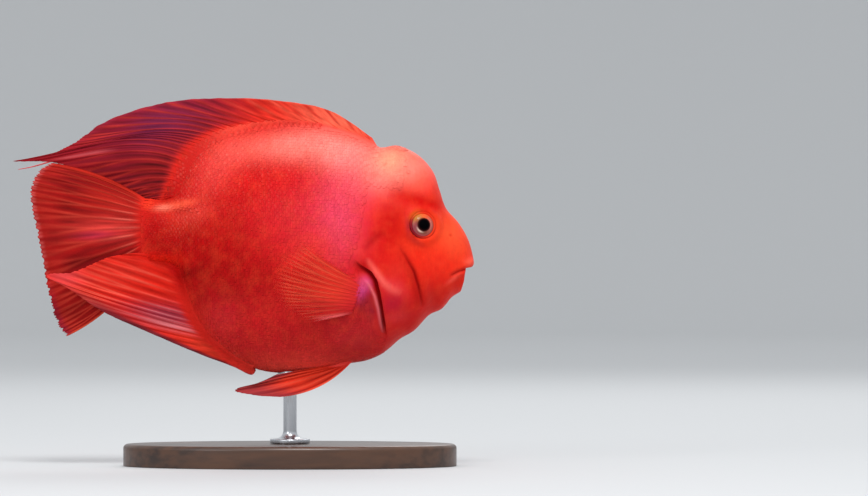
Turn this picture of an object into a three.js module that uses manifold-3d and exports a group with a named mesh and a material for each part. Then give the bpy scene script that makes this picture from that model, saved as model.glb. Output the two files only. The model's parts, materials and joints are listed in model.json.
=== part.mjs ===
// A blood parrot cichlid at life size, 200 mm from snout to tail margin, held on a plain display stand.
// Millimetres, +Z up, snout towards +X, the fish's right side towards -Y.
// The origin is the middle of the stand's underside, straight below the rod.
import * as THREE from "three";
import { mergeVertices } from "three/addons/utils/BufferGeometryUtils.js";
import Module from "manifold-3d";

const wasm = await Module();
wasm.setup();

// Driving dimensions
const bodyHeight = 99; // floor to the body's long axis
const touchGap = 0.3; // free space that neighbouring pieces keep
const tailSweep = 4; // how far the tail margin swings to the fish's left
const tailSweepStart = 5; // x where that swing begins
const tailSweepEnd = -115; // x of the tail margin

// The body's sections, from the mouth to the root of the tail fin.
// Each row: top x, top z, belly x, belly z, half width, level of the widest place, top and belly fullness.
// z is counted from the body's axis. A fullness under 1 is rounder than an ellipse, and over 1 sharper.
const sections = [
  [79.0, -10.1, 79.0, -10.1, 0.0, 0.5, 1.0, 1.0],
  [81.7, -9.5, 79.0, -12.4, 4.2, 0.5, 0.9, 0.9],
  [82.6, -6.8, 78.5, -15.8, 6.8, 0.5, 0.85, 0.9],
  [82.1, -2.7, 77.2, -20.2, 9.0, 0.52, 0.85, 0.95],
  [80.1, 3.6, 72.9, -23.2, 11.6, 0.52, 0.85, 1.0],
  [76.0, 10.6, 68.4, -28.4, 14.2, 0.5, 0.85, 1.0],
  [70.4, 17.1, 62.6, -31.3, 17.0, 0.48, 0.85, 1.0],
  [67.5, 25.2, 56.2, -38.0, 19.4, 0.5, 0.75, 0.95],
  [64.4, 33.8, 49.5, -42.1, 21.3, 0.52, 0.7, 0.95],
  [57.6, 41.2, 42.8, -47.7, 23.0, 0.53, 0.7, 0.95],
  [48.6, 45.2, 35.1, -51.3, 24.6, 0.54, 0.75, 0.95],
  [40.1, 44.7, 27.0, -52.8, 25.6, 0.54, 0.9, 0.92],
  [29.2, 50.2, 18.0, -54.8, 26.0, 0.55, 1.05, 0.9],
  [15.8, 53.8, 6.8, -56.7, 25.8, 0.55, 1.1, 0.9],
  [0.0, 54.9, -4.5, -57.1, 24.8, 0.55, 1.1, 0.92],
  [-14.4, 53.6, -15.8, -55.1, 22.8, 0.54, 1.1, 0.95],
  [-27.0, 50.6, -27.0, -49.1, 19.8, 0.53, 1.1, 1.0],
  [-36.9, 45.9, -36.9, -41.0, 16.2, 0.52, 1.1, 1.05],
  [-43.6, 39.1, -43.2, -31.5, 13.2, 0.5, 1.05, 1.05],
  [-47.7, 31.1, -47.5, -20.2, 10.8, 0.5, 1.0, 1.0],
  [-50.4, 24.8, -50.0, -11.7, 9.2, 0.5, 0.95, 0.95],
  [-54.9, 21.2, -54.0, -7.7, 7.8, 0.5, 0.9, 0.9],
  [-61.6, 20.9, -61.2, -7.2, 5.8, 0.5, 0.85, 0.85],
  [-67.0, 21.8, -67.0, -7.7, 3.2, 0.5, 0.8, 0.8],
];
const ringSteps = 2; // rings between two sections
const lipSteps = 3; // rings between two sections round the mouth
const lipSections = 4; // how many sections the mouth and chin take
const ringSides = 40;
const endBulge = 2.6; // how far the flesh bulges into the root of the tail fin

// Lines on the side of the head, each a list of [x, z] from top to bottom
const gillEdge = [
  [42, 60], [40.5, 44.6], [36.9, 34.2], [34.2, 20.7], [32.4, 9.5], [30.2, 0.5],
  [29.7, -5.4], [32.4, -8.3], [37.2, -11.2], [39.8, -15.2], [41.2, -20.9],
  [42.6, -29.2], [43.7, -36], [44.2, -41], [43.4, -48.1], [42.5, -62],
];
const cheekCrease = [[49.3, -0.2], [52.8, -5.9], [56, -11.6], [57.9, -17.9], [59.1, -23.6], [59.8, -27.4]];
const mouthLine = [[86, -9.0], [79, -10.3], [75.2, -11.7], [71.5, -14]];
const jawHinge = [68.4, -20.5]; // where the lower jaw turns down to the throat
const jawThroat = [66.5, -36];
const gillStepTop = 8; // z where the gill cover's free edge begins
const gillStepLow = -42; // z where it runs out on the throat
const gillStep = 1.5; // how far the gill cover stands over the shoulder
const gillStepRun = 5; // how far behind the edge the shoulder comes level again
const creaseWidth = 1.3;
const creaseDepth = 1.4;

const eye = { x: 59.7, z: 9.2, radius: 6, depth: 4.2, sunk: 2.1, rim: 0.9, pupil: 2.5 };
const nostril = { x: 72.4, z: 4.6, radius: 0.8 };

const clamp = (v, low, high) => Math.min(high, Math.max(low, v));
const ease = (v) => {
  const t = clamp(v, 0, 1);
  return t * t * (3 - 2 * t);
};
const bump = (distance, width) => Math.exp(-((distance / width) ** 2));

// A smooth curve through the rows of a table, read at any place between 0 and its last row.
function along(rows, place, column) {
  const last = rows.length - 1;
  const i = clamp(Math.floor(place), 0, last - 1);
  const t = place - i;
  const [a, b, c, d] = [i - 1, i, i + 1, i + 2].map((k) => rows[clamp(k, 0, last)][column]);
  const [second, third] = [2 * a - 5 * b + 4 * c - d, 3 * b - a - 3 * c + d];
  return 0.5 * (2 * b + (c - a) * t + second * t ** 2 + third * t ** 3);
}

// x on a line of [x, z] points at one height.
function lineX(line, z) {
  for (let i = 1; i < line.length; i++) {
    const [[x0, z0], [x1, z1]] = [line[i - 1], line[i]];
    if (z >= z1) return x0 + ((x1 - x0) * clamp(z0 - z, 0, z0 - z1)) / (z0 - z1);
  }
  return line[line.length - 1][0];
}

// How far the tail is swung to the fish's left at one x.
const swing = (x) => tailSweep * ease((tailSweepStart - x) / (tailSweepStart - tailSweepEnd));

// A point of the bare body at one place along the sections and one angle round them, 0 on the back.
function bodyPoint(place, angle) {
  const row = sections[0].map((_, k) => along(sections, place, k));
  const [topX, topZ, lowX, lowZ, half, level, topFull, lowFull] = row;
  const down = ((1 - Math.cos(angle)) / 2) ** (Math.log(level) / Math.log(0.5));
  const fullness = Math.cos(angle) > 0 ? topFull : lowFull;
  const out = Math.max(0, half) * Math.abs(Math.sin(angle)) ** fullness * Math.sign(Math.sin(angle));
  return new THREE.Vector3(topX + (lowX - topX) * down, out, topZ + (lowZ - topZ) * down);
}

// The outward direction of the bare body at one place and angle.
function bodyNormal(place, angle) {
  const step = 0.02;
  const s = clamp(place, step, sections.length - 1 - step);
  const lengthwise = bodyPoint(s + step, angle).sub(bodyPoint(s - step, angle));
  const round = bodyPoint(s, angle + step).sub(bodyPoint(s, angle - step));
  return round.cross(lengthwise).normalize();
}

// Soft hollows and swellings of the head, in mm outwards, by where they lie in the side view.
function headRelief(x, z) {
  const cheek = 1.2 * bump(x - 47, 13) * bump(z + 18, 15);
  const jowl = 0.8 * bump(x - 66, 8) * bump(z + 14, 11);
  const brow = -1.3 * bump(z - (19.4 - 0.25 * (x - 60)), 3) * ease((x - 36) / 16);
  const nape = -1.2 * bump(x - (40 + 0.1 * (44 - z)), 4) * ease((z - 18) / 16);
  const orbit = 0.7 * bump(Math.hypot(x - eye.x, z - eye.z) - 7, 2.4);
  const upperLip = 0.9 * bump(Math.hypot(x - 79.5, (z + 8) * 0.8), 3.4);
  const lowerLip = 0.8 * bump(Math.hypot(x - 77, (z + 14) * 0.8), 3.2);
  return cheek + jowl + brow + nape + orbit + upperLip + lowerLip;
}

// The shoulder lies lower just behind the gill cover's free edge.
function trunkRelief(x, z) {
  const behind = lineX(gillEdge, z) - x;
  const reach = ease((gillStepTop - z) / 8) * ease((z - gillStepLow) / 6);
  const nape = -1.2 * bump(x - (40 + 0.1 * (44 - z)), 4) * ease((z - 18) / 16);
  return nape - gillStep * reach * (1 - ease(behind / gillStepRun));
}

// The closed body, grown by some distance outwards.
function bodySolid(relief, grow) {
  const places = [];
  for (let i = 0; i < sections.length - 1; i++) {
    const steps = i < lipSections ? lipSteps : ringSteps;
    for (let k = 0; k < steps; k++) places.push(i + k / steps);
  }
  places.push(sections.length - 1);
  const positions = [];
  const faces = [];
  const add = (x, y, z) => positions.push(x, y + swing(x), z + bodyHeight);
  const [mouthX, mouthZ] = sections[0];
  add(mouthX + grow, 0, mouthZ);
  for (const place of places.slice(1)) {
    for (let k = 0; k < ringSides; k++) {
      const angle = (2 * Math.PI * k) / ringSides;
      const p = bodyPoint(place, angle);
      const n = bodyNormal(place, angle);
      const fade = Math.abs(Math.sin(angle)) ** 0.7;
      p.addScaledVector(n, grow + relief(p.x, p.z) * fade);
      if (place === sections.length - 1) p.x = sections[sections.length - 1][0] - grow;
      add(p.x, p.y, p.z);
    }
  }
  const [endX, endTop, , endLow] = sections[sections.length - 1];
  add(endX - endBulge - grow, 0, (endTop + endLow) / 2);
  const end = positions.length / 3 - 1;
  const ring = (r, k) => 1 + (r - 1) * ringSides + (k % ringSides);
  for (let k = 0; k < ringSides; k++) {
    faces.push(0, ring(1, k + 1), ring(1, k));
    for (let r = 1; r < places.length - 1; r++) {
      const [a, b, c, d] = [ring(r, k), ring(r, k + 1), ring(r + 1, k + 1), ring(r + 1, k)];
      faces.push(a, b, c, a, c, d);
    }
    faces.push(ring(places.length - 1, k), ring(places.length - 1, k + 1), end);
  }
  return solidOf(positions, faces);
}

// A manifold-3d solid from loose positions and faces.
function solidOf(positions, faces) {
  return new wasm.Manifold(
    new wasm.Mesh({
      numProp: 3,
      vertProperties: new Float32Array(positions),
      triVerts: new Uint32Array(faces),
    }),
  );
}

// A manifold-3d solid from a three.js geometry.
function solid(geometry) {
  const bare = geometry.index ? geometry.toNonIndexed() : geometry.clone();
  bare.deleteAttribute("normal");
  bare.deleteAttribute("uv");
  const merged = mergeVertices(bare, 1e-3);
  return solidOf(merged.attributes.position.array, merged.index.array);
}

// The largest closed surface of a solid, so that a cut leaves no loose scrap.
function largest(shape) {
  return shape.decompose().sort((a, b) => b.volume() - a.volume())[0];
}

// A block that fills an outline of [x, z] points in the side view, right across the body.
function sideBlock(outline, low = -60, high = 60) {
  const shape = new THREE.Shape(outline.map(([x, z]) => new THREE.Vector2(x, z + bodyHeight)));
  const block = new THREE.ExtrudeGeometry(shape, { depth: high - low, bevelEnabled: false });
  return solid(block.rotateX(Math.PI / 2).translate(0, high, 0));
}

// A line of points moved sideways by some distance, to its left as it runs.
function beside(line, distance) {
  return line.map(([x, z], i) => {
    const [x0, z0] = line[Math.max(0, i - 1)];
    const [x1, z1] = line[Math.min(line.length - 1, i + 1)];
    const length = Math.hypot(x1 - x0, z1 - z0);
    return [x - (distance * (z1 - z0)) / length, z + (distance * (x1 - x0)) / length];
  });
}

// A long thin leaf round a line, widest in its middle, for a crease.
function leaf(line, width) {
  const half = (i) => (width / 2) * Math.sin((Math.PI * (i + 0.4)) / (line.length - 0.2)) + 0.1;
  const left = line.map((_, i) => beside(line, half(i))[i]);
  const right = line.map((_, i) => beside(line, -half(i))[i]);
  return [...left, ...right.reverse()];
}

// Head, lower jaw, trunk and tail stock
const farFront = 120;
const farBack = -120;
const farUp = 90;
const tailCut = -53.6; // x where the trunk ends and the tail stock begins

function makeFlesh() {
  const headSkin = bodySolid(headRelief, 0);
  const trunkSkin = bodySolid(trunkRelief, 0);
  const headSide = (shift) => [...beside(gillEdge, shift), [farFront, -farUp], [farFront, farUp]];
  const jawSide = (shift) => [
    ...beside(mouthLine, -shift),
    [jawHinge[0] - shift, jawHinge[1]],
    [jawThroat[0] - shift, jawThroat[1]],
    [farFront, jawThroat[1]],
    [farFront, mouthLine[0][1] + shift],
  ];
  const marks = [leaf(cheekCrease, creaseWidth), ring2d(nostril.x, nostril.z, nostril.radius)]
    .map((outline) => sideBlock(outline))
    .reduce((all, block) => all.add(block))
    .subtract(bodySolid(headRelief, -creaseDepth));
  const front = headSkin.intersect(sideBlock(headSide(0)));
  const jaw = largest(front.intersect(sideBlock(jawSide(0))));
  const head = front.subtract(sideBlock(jawSide(touchGap))).subtract(marks);
  const back = trunkSkin.subtract(sideBlock(headSide(-touchGap)));
  const behindCut = [[tailCut, farUp], [tailCut, -farUp], [farBack, -farUp], [farBack, farUp]];
  const trunkEnd = behindCut.map(([x, z]) => [x + touchGap, z]);
  return {
    head,
    lower_jaw: jaw,
    trunk: largest(back.subtract(sideBlock(trunkEnd))),
    tail_stock: largest(back.intersect(sideBlock(behindCut))),
  };
}

// A round outline in the side view.
function ring2d(x, z, radius, sides = 10) {
  return Array.from({ length: sides }, (_, k) => {
    const a = (2 * Math.PI * k) / sides;
    return [x + radius * Math.cos(a), z + radius * Math.sin(a)];
  });
}

// Where the flank lies at a place in the side view: the point and its outward direction on the left side.
function flankAt(x, z, relief) {
  let best = null;
  for (let place = 0.5; place < sections.length - 1; place += 0.05) {
    for (let angle = 0.1; angle < Math.PI - 0.1; angle += 0.03) {
      const p = bodyPoint(place, angle);
      const miss = Math.hypot(p.x - x, p.z - z);
      if (!best || miss < best.miss) best = { miss, point: p, normal: bodyNormal(place, angle) };
    }
  }
  best.point.addScaledVector(best.normal, relief(x, z));
  return best;
}

// Eyes: a flattened ball set in the head, with a fleshy rim round it and a pupil let into its face.
function eyeFrame(side) {
  const { point, normal } = flankAt(eye.x, eye.z, headRelief);
  const outward = new THREE.Vector3(normal.x, side * normal.y, normal.z);
  const middle = new THREE.Vector3(point.x, side * point.y, point.z + bodyHeight);
  middle.addScaledVector(outward, -eye.sunk);
  const turn = new THREE.Quaternion().setFromUnitVectors(new THREE.Vector3(0, 0, 1), outward);
  return new THREE.Matrix4().compose(middle, turn, new THREE.Vector3(1, 1, 1));
}

function eyeBall(side, grow) {
  const ball = new THREE.SphereGeometry(1, 18, 10).rotateX(Math.PI / 2);
  const radius = eye.radius + grow;
  return solid(ball.scale(radius, radius, eye.depth + grow).applyMatrix4(eyeFrame(side)));
}

function eyeRim(side) {
  const seat = eye.radius * Math.sqrt(1 - (eye.sunk / eye.depth) ** 2);
  const rim = new THREE.TorusGeometry(seat + eye.rim * 0.7, eye.rim, 6, 20);
  return solid(rim.translate(0, 0, eye.sunk - 0.2).applyMatrix4(eyeFrame(side)));
}

function pupilPlug(side, grow) {
  const radius = eye.pupil + grow;
  const plug = new THREE.CylinderGeometry(radius, radius, 6, 12).rotateX(Math.PI / 2);
  return solid(plug.translate(0, 0, eye.depth + 1.6 - grow).applyMatrix4(eyeFrame(side)));
}

// Fins. A key row gives one ray: base x, base z, tip x, tip z, bow, base y, tip y.
// The bow lifts the ray's middle off its chord, to its left as it runs out. A skew moves the lift inwards.
// The rays between are worked out.
const dorsalKeys = [
  [39.8, 44.0, 36.9, 48.8, 0, 0, 0],
  [29.8, 49.8, 18.0, 61.0, 1, 0, 0],
  [15.0, 53.9, -4.5, 65.5, 1, 0, 0],
  [-1.0, 54.9, -29.2, 66.8, 1, 0, 0],
  [-15.8, 53.4, -56.2, 64.9, 0, 0, 0],
  [-27.0, 50.6, -82.3, 57.3, -3, 0, 0],
  [-33.6, 48.0, -98.4, 46.8, -4, 0, 0],
  [-37.8, 45.3, -111.0, 40.9, -5.5, 0, 0],
  [-41.4, 42.3, -126.0, 38.2, -6.5, 0, 0],
  [-45.9, 36.0, -106.5, 37.4, -5, 0, 0],
  [-48.6, 29.7, -84.0, 28.8, -3, 0, 0],
  [-51.2, 24.6, -71.0, 22.6, -1, 0, 0],
  [-53.0, 21.6, -62.5, 19.8, 0, 0, 0],
];
const analKeys = [
  [-15.6, -55.1, -15.4, -56.2, 0, 0, 0],
  [-18.0, -54.5, -17.9, -58.0, 0, 0, 0],
  [-21.8, -52.6, -26.0, -54.2, 0, 0, 0],
  [-27.3, -49.0, -42.0, -48.2, 0, 0, 0],
  [-32.0, -45.6, -63.0, -39.2, 0, 0, 0],
  [-36.1, -41.7, -84.0, -29.6, 0.4, 0, 0],
  [-39.3, -37.8, -99.5, -19.2, 0.8, 0, 0],
  [-42.0, -34.0, -110.2, -13.0, 1, 0, 0],
  [-44.6, -28.8, -98.5, -11.7, 0.6, 0, 0],
  [-46.8, -22.4, -89.0, -7.9, 0, 0, 0],
  [-49.0, -15.6, -81.5, -4.9, -1, 0, 0],
  [-51.8, -8.6, -74.5, -3.7, -2.5, 0, 0],
];
const caudalKeys = [
  [-65.5, 21.6, -108.0, 37.6, -2.6, 0, 0],
  [-66.5, 19.0, -114.2, 33.2, -1.6, 0, 0],
  [-67.0, 14.0, -117.7, 22.5, 0, 0, 0],
  [-67.0, 7.0, -113.9, 2.7, 0, 0, 0],
  [-67.0, 0.0, -109.6, -19.8, 1, 0, 0],
  [-66.5, -5.0, -105.8, -34.2, 2.5, 0, 0],
  [-65.5, -7.4, -101.0, -40.9, 4, 0, 0],
];
const pectoralKeys = [
  [33.0, -15.8, 6.3, 2.5, 1, 24.6, 28.6],
  [32.2, -19.4, -3.1, -5.0, 1, 24.6, 30.2],
  [31.0, -23.0, -7.2, -16.2, 0.5, 24.2, 31.0],
  [29.6, -26.6, -2.7, -27.0, 0, 23.6, 30.2],
  [28.4, -30.2, 9.9, -34.2, 0, 22.6, 28.0],
];
const pelvicKeys = [
  [27.9, -52.0, -4.5, -67.6, 3.7, 5.0, 13.5],
  [26.0, -52.8, -15.6, -66.9, 2.6, 5.2, 13.0],
  [24.2, -53.4, -24.8, -64.7, 1.0, 5.4, 12.5],
  [22.4, -54.0, -15.0, -61.9, -0.6, 5.8, 12.0],
  [20.7, -53.4, -6.0, -57.8, -0.4, 6.6, 11.0],
];

const bodyAxis = [-5, 0]; // towards which the dorsal and anal fins are rooted
const fins = {
  dorsal_fin: {
    keys: dorsalKeys, rays: 28, rows: 6, ray: 0.75, web: 0.3,
    root: bodyAxis, sink: 5, flex: 9, skew: 0.7, side: 1,
  },
  anal_fin: {
    keys: analKeys, rays: 17, rows: 7, ray: 0.75, web: 0.3,
    root: bodyAxis, sink: 5, flex: -9, side: 1,
  },
  caudal_fin: {
    keys: caudalKeys, rays: 16, rows: 7, ray: 0.8, web: 0.32,
    root: [-40, 7], sink: 4, flex: 0, side: 1,
  },
};
const pairedFins = {
  pectoral_fin: { keys: pectoralKeys, rays: 13, rows: 6, ray: 0.5, web: 0.26, inward: 3, flex: 0 },
  pelvic_fin: { keys: pelvicKeys, rays: 6, rows: 6, ray: 0.6, web: 0.3, root: [10, 0], sink: 4, flex: 0 },
};
for (const [name, fin] of Object.entries(pairedFins)) {
  fins[name + "_left"] = { ...fin, side: 1 };
  fins[name + "_right"] = { ...fin, side: -1 };
}
const flexStart = -44; // x where the dorsal and anal fins begin to lean clear of the tail fin
const flexEnd = -104;
const footShare = 0.3; // a ray's half width as a share of the space to the next ray
const notchShare = 0.03; // how far the web falls short of the ray tips

// A point of a fin's middle sheet: where across its rays, and how far out along them.
function finPoint(fin, across, out) {
  const place = across * (fin.keys.length - 1);
  const [bx, bz, tx, tz, bow, by, ty] = fin.keys[0].map((_, k) => along(fin.keys, place, k));
  const length = Math.hypot(tx - bx, tz - bz);
  const lift = 4 * out * (1 - out) * bow * (1 + (fin.skew ?? 0) * (1 - 2 * out));
  const x = bx + (tx - bx) * out - ((tz - bz) / length) * lift;
  const z = bz + (tz - bz) * out + ((tx - bx) / length) * lift;
  const y = by + (ty - by) * out + fin.flex * ease((flexStart - x) / (flexStart - flexEnd));
  return new THREE.Vector3(x, fin.side * y + swing(x), z);
}

// The same point under the skin, where the fin is rooted.
function finRoot(fin, across) {
  const p = finPoint(fin, across, 0);
  if (fin.inward) return p.setY(p.y - fin.side * fin.inward);
  const [x, z] = fin.root;
  const distance = Math.hypot(x - p.x, z - p.z);
  p.x += ((x - p.x) / distance) * fin.sink;
  p.z += ((z - p.z) / distance) * fin.sink;
  return p;
}

// The whole fin: its rays are ridges on both faces of one closed sheet, split into triangles alike.
function finSolid(fin) {
  const columns = [];
  for (let j = 0; j < fin.rays; j++) {
    const middle = j / (fin.rays - 1);
    const foot = footShare / (fin.rays - 1);
    if (j > 0) columns.push({ across: middle - foot, crest: false });
    columns.push({ across: middle, crest: true });
    if (j < fin.rays - 1) columns.push({ across: middle + foot, crest: false });
  }
  const positions = [];
  const faces = [];
  const rows = fin.rows + 1;
  const face = (sign) => {
    for (const { across, crest } of columns) {
      for (let r = 0; r <= fin.rows; r++) {
        const out = ((r - 1) / (fin.rows - 1)) * (crest ? 1 : 1 - notchShare);
        const p = r === 0 ? finRoot(fin, across) : finPoint(fin, across, out);
        const taper = 1 - 0.6 * Math.max(0, out);
        const half = crest ? fin.ray * taper : fin.web * (1 - 0.15 * Math.max(0, out));
        positions.push(p.x, p.y + sign * half, p.z + bodyHeight);
      }
    }
  };
  face(1);
  face(-1);
  const other = columns.length * rows;
  const at = (c, r) => c * rows + r;
  const quad = (a, b, c, d) => faces.push(a, b, c, a, c, d);
  for (let c = 0; c < columns.length - 1; c++) {
    for (let r = 0; r < rows - 1; r++) {
      const [p, q, s, t] = [at(c, r), at(c, r + 1), at(c + 1, r + 1), at(c + 1, r)];
      quad(p, q, s, t);
      faces.push(p + other, s + other, q + other, p + other, t + other, s + other);
    }
    quad(at(c, 0), at(c + 1, 0), at(c + 1, 0) + other, at(c, 0) + other);
    quad(at(c + 1, rows - 1), at(c, rows - 1), at(c, rows - 1) + other, at(c + 1, rows - 1) + other);
  }
  const end = columns.length - 1;
  for (let r = 0; r < rows - 1; r++) {
    quad(at(0, r + 1), at(0, r), at(0, r) + other, at(0, r + 1) + other);
    quad(at(end, r), at(end, r + 1), at(end, r + 1) + other, at(end, r) + other);
  }
  const made = solidOf(positions, faces);
  return made.volume() < 0 ? solidOf(positions, faces.reverse()) : made;
}

// Stand: an oval plinth with a rounded edge, and a turned rod with a foot and a saddle under the belly.
const base = { length: 150, width: 84, height: 10, edge: 2 };
const rod = { radius: 3, footRadius: 9, footHeight: 3, saddleRadius: 5.5, saddleHeight: 5 };

function makeBase() {
  const oval = new THREE.Shape();
  oval.absellipse(0, 0, base.length / 2 - base.edge, base.width / 2 - base.edge, 0, 2 * Math.PI);
  const depth = base.height - 2 * base.edge;
  const bevel = { bevelThickness: base.edge, bevelSize: base.edge, bevelSegments: 2 };
  const plinth = new THREE.ExtrudeGeometry(oval, { depth, curveSegments: 16, ...bevel });
  return solid(plinth.translate(0, 0, base.edge));
}

function makeRod(belly) {
  const low = base.height + touchGap;
  const high = bodyHeight - 50;
  const { radius, footRadius, footHeight, saddleRadius, saddleHeight } = rod;
  const saddleLow = bodyHeight + sections[13][3] - saddleHeight;
  const profile = [
    [0, low], [footRadius, low], [footRadius, low + footHeight * 0.5],
    [footRadius * 0.75, low + footHeight],
    [radius * 1.4, low + footHeight + 1], [radius, low + footHeight + 3], [radius, saddleLow - 3],
    [saddleRadius, saddleLow + 2], [saddleRadius, high], [0, high],
  ].map(([r, z]) => new THREE.Vector2(r, z));
  const turned = new THREE.LatheGeometry(profile, 24).rotateX(Math.PI / 2);
  return largest(solid(turned).subtract(belly));
}

// Materials
function finish(color, roughness, metalness = 0) {
  return new THREE.MeshStandardMaterial({ color, roughness, metalness });
}

const materials = {
  flesh: finish("#e2372c", 0.4),
  head: finish("#ee4a2c", 0.4),
  fin: finish("#d63a34", 0.45),
  eye: finish("#b98a52", 0.25),
  pupil: finish("#0a0708", 0.1),
  plinth: finish("#3a2c24", 0.5),
  rod: finish("#b9bcc0", 0.3, 1),
};

// Slivers that a cut leaves: edges this short are closed up, and triangles this flat are turned or closed.
const shortestEdge = 0.05;
const flattest = 0.005;
const sliverRounds = 60;

const turns = ([a, b, c]) => [[a, b, c], [b, c, a], [c, a, b]];

// One round over all faces, given where each vertex lies. It returns how many faces it closed or turned.
function mendSlivers(faces, at) {
  const near = new Map();
  const beyond = new Map();
  for (const face of faces) {
    for (const [p, q, r] of turns(face)) {
      if (!near.has(p)) near.set(p, new Set());
      near.get(p).add(q).add(r);
      beyond.set(p + " " + q, r);
    }
  }
  const length = (p, q) => at(p).distanceTo(at(q));
  const used = new Set();
  const claim = (...corners) => {
    const ring = corners.flatMap((v) => [v, ...near.get(v)]);
    const free = !ring.some((v) => used.has(v));
    if (free) ring.forEach((v) => used.add(v));
    return free;
  };
  const closed = new Map();
  const turned = new Map();
  const close = (gone, kept) => {
    const shared = [...near.get(gone)].filter((v) => near.get(kept).has(v));
    if (shared.length === 2 && claim(gone, kept)) closed.set(gone, kept);
  };
  for (const face of faces) {
    const sides = turns(face).sort(([p, q], [s, t]) => length(p, q) - length(s, t));
    const [[p, q], , [s, t, u]] = sides;
    if (length(p, q) < shortestEdge) {
      close(q, p);
      continue;
    }
    const height = (2 * new THREE.Triangle(at(s), at(t), at(u)).getArea()) / length(s, t);
    if (height > flattest) continue;
    const across = beyond.get(t + " " + s);
    if (near.get(u).has(across)) close(u, length(u, s) < length(u, t) ? s : t);
    else if (claim(s, t, u, across)) {
      turned.set([s, t, u].join(" "), [s, across, u]);
      turned.set([t, s, across].join(" "), [across, t, u]);
    }
  }
  for (let i = faces.length - 1; i >= 0; i--) {
    const turn = turns(faces[i]).map((f) => turned.get(f.join(" "))).find((f) => f);
    faces[i] = (turn ?? faces[i]).map((v) => closed.get(v) ?? v);
    if (new Set(faces[i]).size < 3) faces.splice(i, 1);
  }
  return closed.size + turned.size;
}

const model = new THREE.Group();

function show(name, shape, material) {
  const made = shape.getMesh();
  const places = [];
  for (let i = 0; i < made.numVert; i++) {
    places.push(new THREE.Vector3().fromArray(made.vertProperties, i * made.numProp));
  }
  const faces = [];
  for (let i = 0; i < made.triVerts.length; i += 3) faces.push([...made.triVerts.subarray(i, i + 3)]);
  for (let k = 0; k < sliverRounds; k++) {
    if (!mendSlivers(faces, (v) => places[v])) break;
  }
  const geometry = new THREE.BufferGeometry();
  geometry.setFromPoints(faces.flat().map((v) => places[v]));
  geometry.computeVertexNormals();
  const mesh = new THREE.Mesh(geometry, material);
  mesh.name = name;
  model.add(mesh);
}

const flesh = makeFlesh();
const headClear = bodySolid(headRelief, touchGap).intersect(
  sideBlock([...beside(gillEdge, -touchGap), [farFront, -farUp], [farFront, farUp]]),
);
const trunkClear = bodySolid(trunkRelief, touchGap);

let head = flesh.head;
for (const side of [1, -1]) head = head.add(eyeRim(side)).subtract(eyeBall(side, touchGap));
show("head", largest(head), materials.head);
show("lower_jaw", flesh.lower_jaw, materials.head);
show("trunk", flesh.trunk, materials.flesh);
show("tail_stock", flesh.tail_stock, materials.flesh);

for (const [sideName, side] of [["left", 1], ["right", -1]]) {
  const ball = eyeBall(side, 0);
  show("eye_" + sideName, largest(ball.subtract(pupilPlug(side, touchGap))), materials.eye);
  show("pupil_" + sideName, largest(eyeBall(side, 0.1).intersect(pupilPlug(side, 0))), materials.pupil);
}

for (const [name, fin] of Object.entries(fins)) {
  const shape = finSolid(fin).subtract(trunkClear).subtract(headClear);
  show(name, largest(shape), materials.fin);
}

show("stand_base", makeBase(), materials.plinth);
show("stand_rod", makeRod(trunkClear), materials.rod);

export default model;
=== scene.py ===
"""A still, life-size blood parrot cichlid on a plain display stand, in a pale studio.

Tables are in millimetres in the part's own frame: +Z up, snout towards +X, the fish's right side towards
-Y, with heights on the fish counted from its long axis. Pieces are made in millimetres and then turned
into metres.
"""

import json
import math

import bmesh
import bpy
import numpy as np
from mathutils import Matrix, Vector

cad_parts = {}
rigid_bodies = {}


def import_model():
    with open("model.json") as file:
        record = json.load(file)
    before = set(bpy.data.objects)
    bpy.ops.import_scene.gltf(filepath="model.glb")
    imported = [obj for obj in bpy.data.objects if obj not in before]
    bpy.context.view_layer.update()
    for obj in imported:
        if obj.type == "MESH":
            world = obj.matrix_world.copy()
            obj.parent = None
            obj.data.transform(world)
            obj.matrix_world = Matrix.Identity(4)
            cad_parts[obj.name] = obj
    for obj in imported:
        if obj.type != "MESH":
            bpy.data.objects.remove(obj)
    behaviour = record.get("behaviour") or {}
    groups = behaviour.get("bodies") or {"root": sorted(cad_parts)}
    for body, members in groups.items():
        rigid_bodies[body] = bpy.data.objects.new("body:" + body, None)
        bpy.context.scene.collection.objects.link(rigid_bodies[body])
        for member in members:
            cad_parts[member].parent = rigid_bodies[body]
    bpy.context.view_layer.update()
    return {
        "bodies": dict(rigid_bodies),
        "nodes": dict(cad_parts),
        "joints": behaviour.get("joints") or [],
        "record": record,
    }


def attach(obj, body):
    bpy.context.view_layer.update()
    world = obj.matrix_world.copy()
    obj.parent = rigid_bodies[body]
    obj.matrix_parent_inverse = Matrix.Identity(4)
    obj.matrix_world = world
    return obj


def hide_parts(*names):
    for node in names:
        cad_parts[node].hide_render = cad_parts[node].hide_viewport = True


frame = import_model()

MM = 0.001
BODY_HEIGHT = 99.0  # the fish's long axis over the floor
BODY = "root"
FLESH = ("head", "lower_jaw", "trunk", "tail_stock")
SIDES = (("left", 1), ("right", -1))
rng = np.random.default_rng(7)


def add_object(name, data):
    made = bpy.data.objects.new(name, data)
    bpy.context.scene.collection.objects.link(made)
    return made


# Camera
PICTURE_WIDTH = 868
MM_PER_PIXEL = 0.45
PICTURE_MIDDLE = (64.8, 98.1)  # what the middle of the picture shows, x and z
CAMERA_DISTANCE = 2500.0
CAMERA_SIGHT = 50000.0
SENSOR = 36.0


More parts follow.
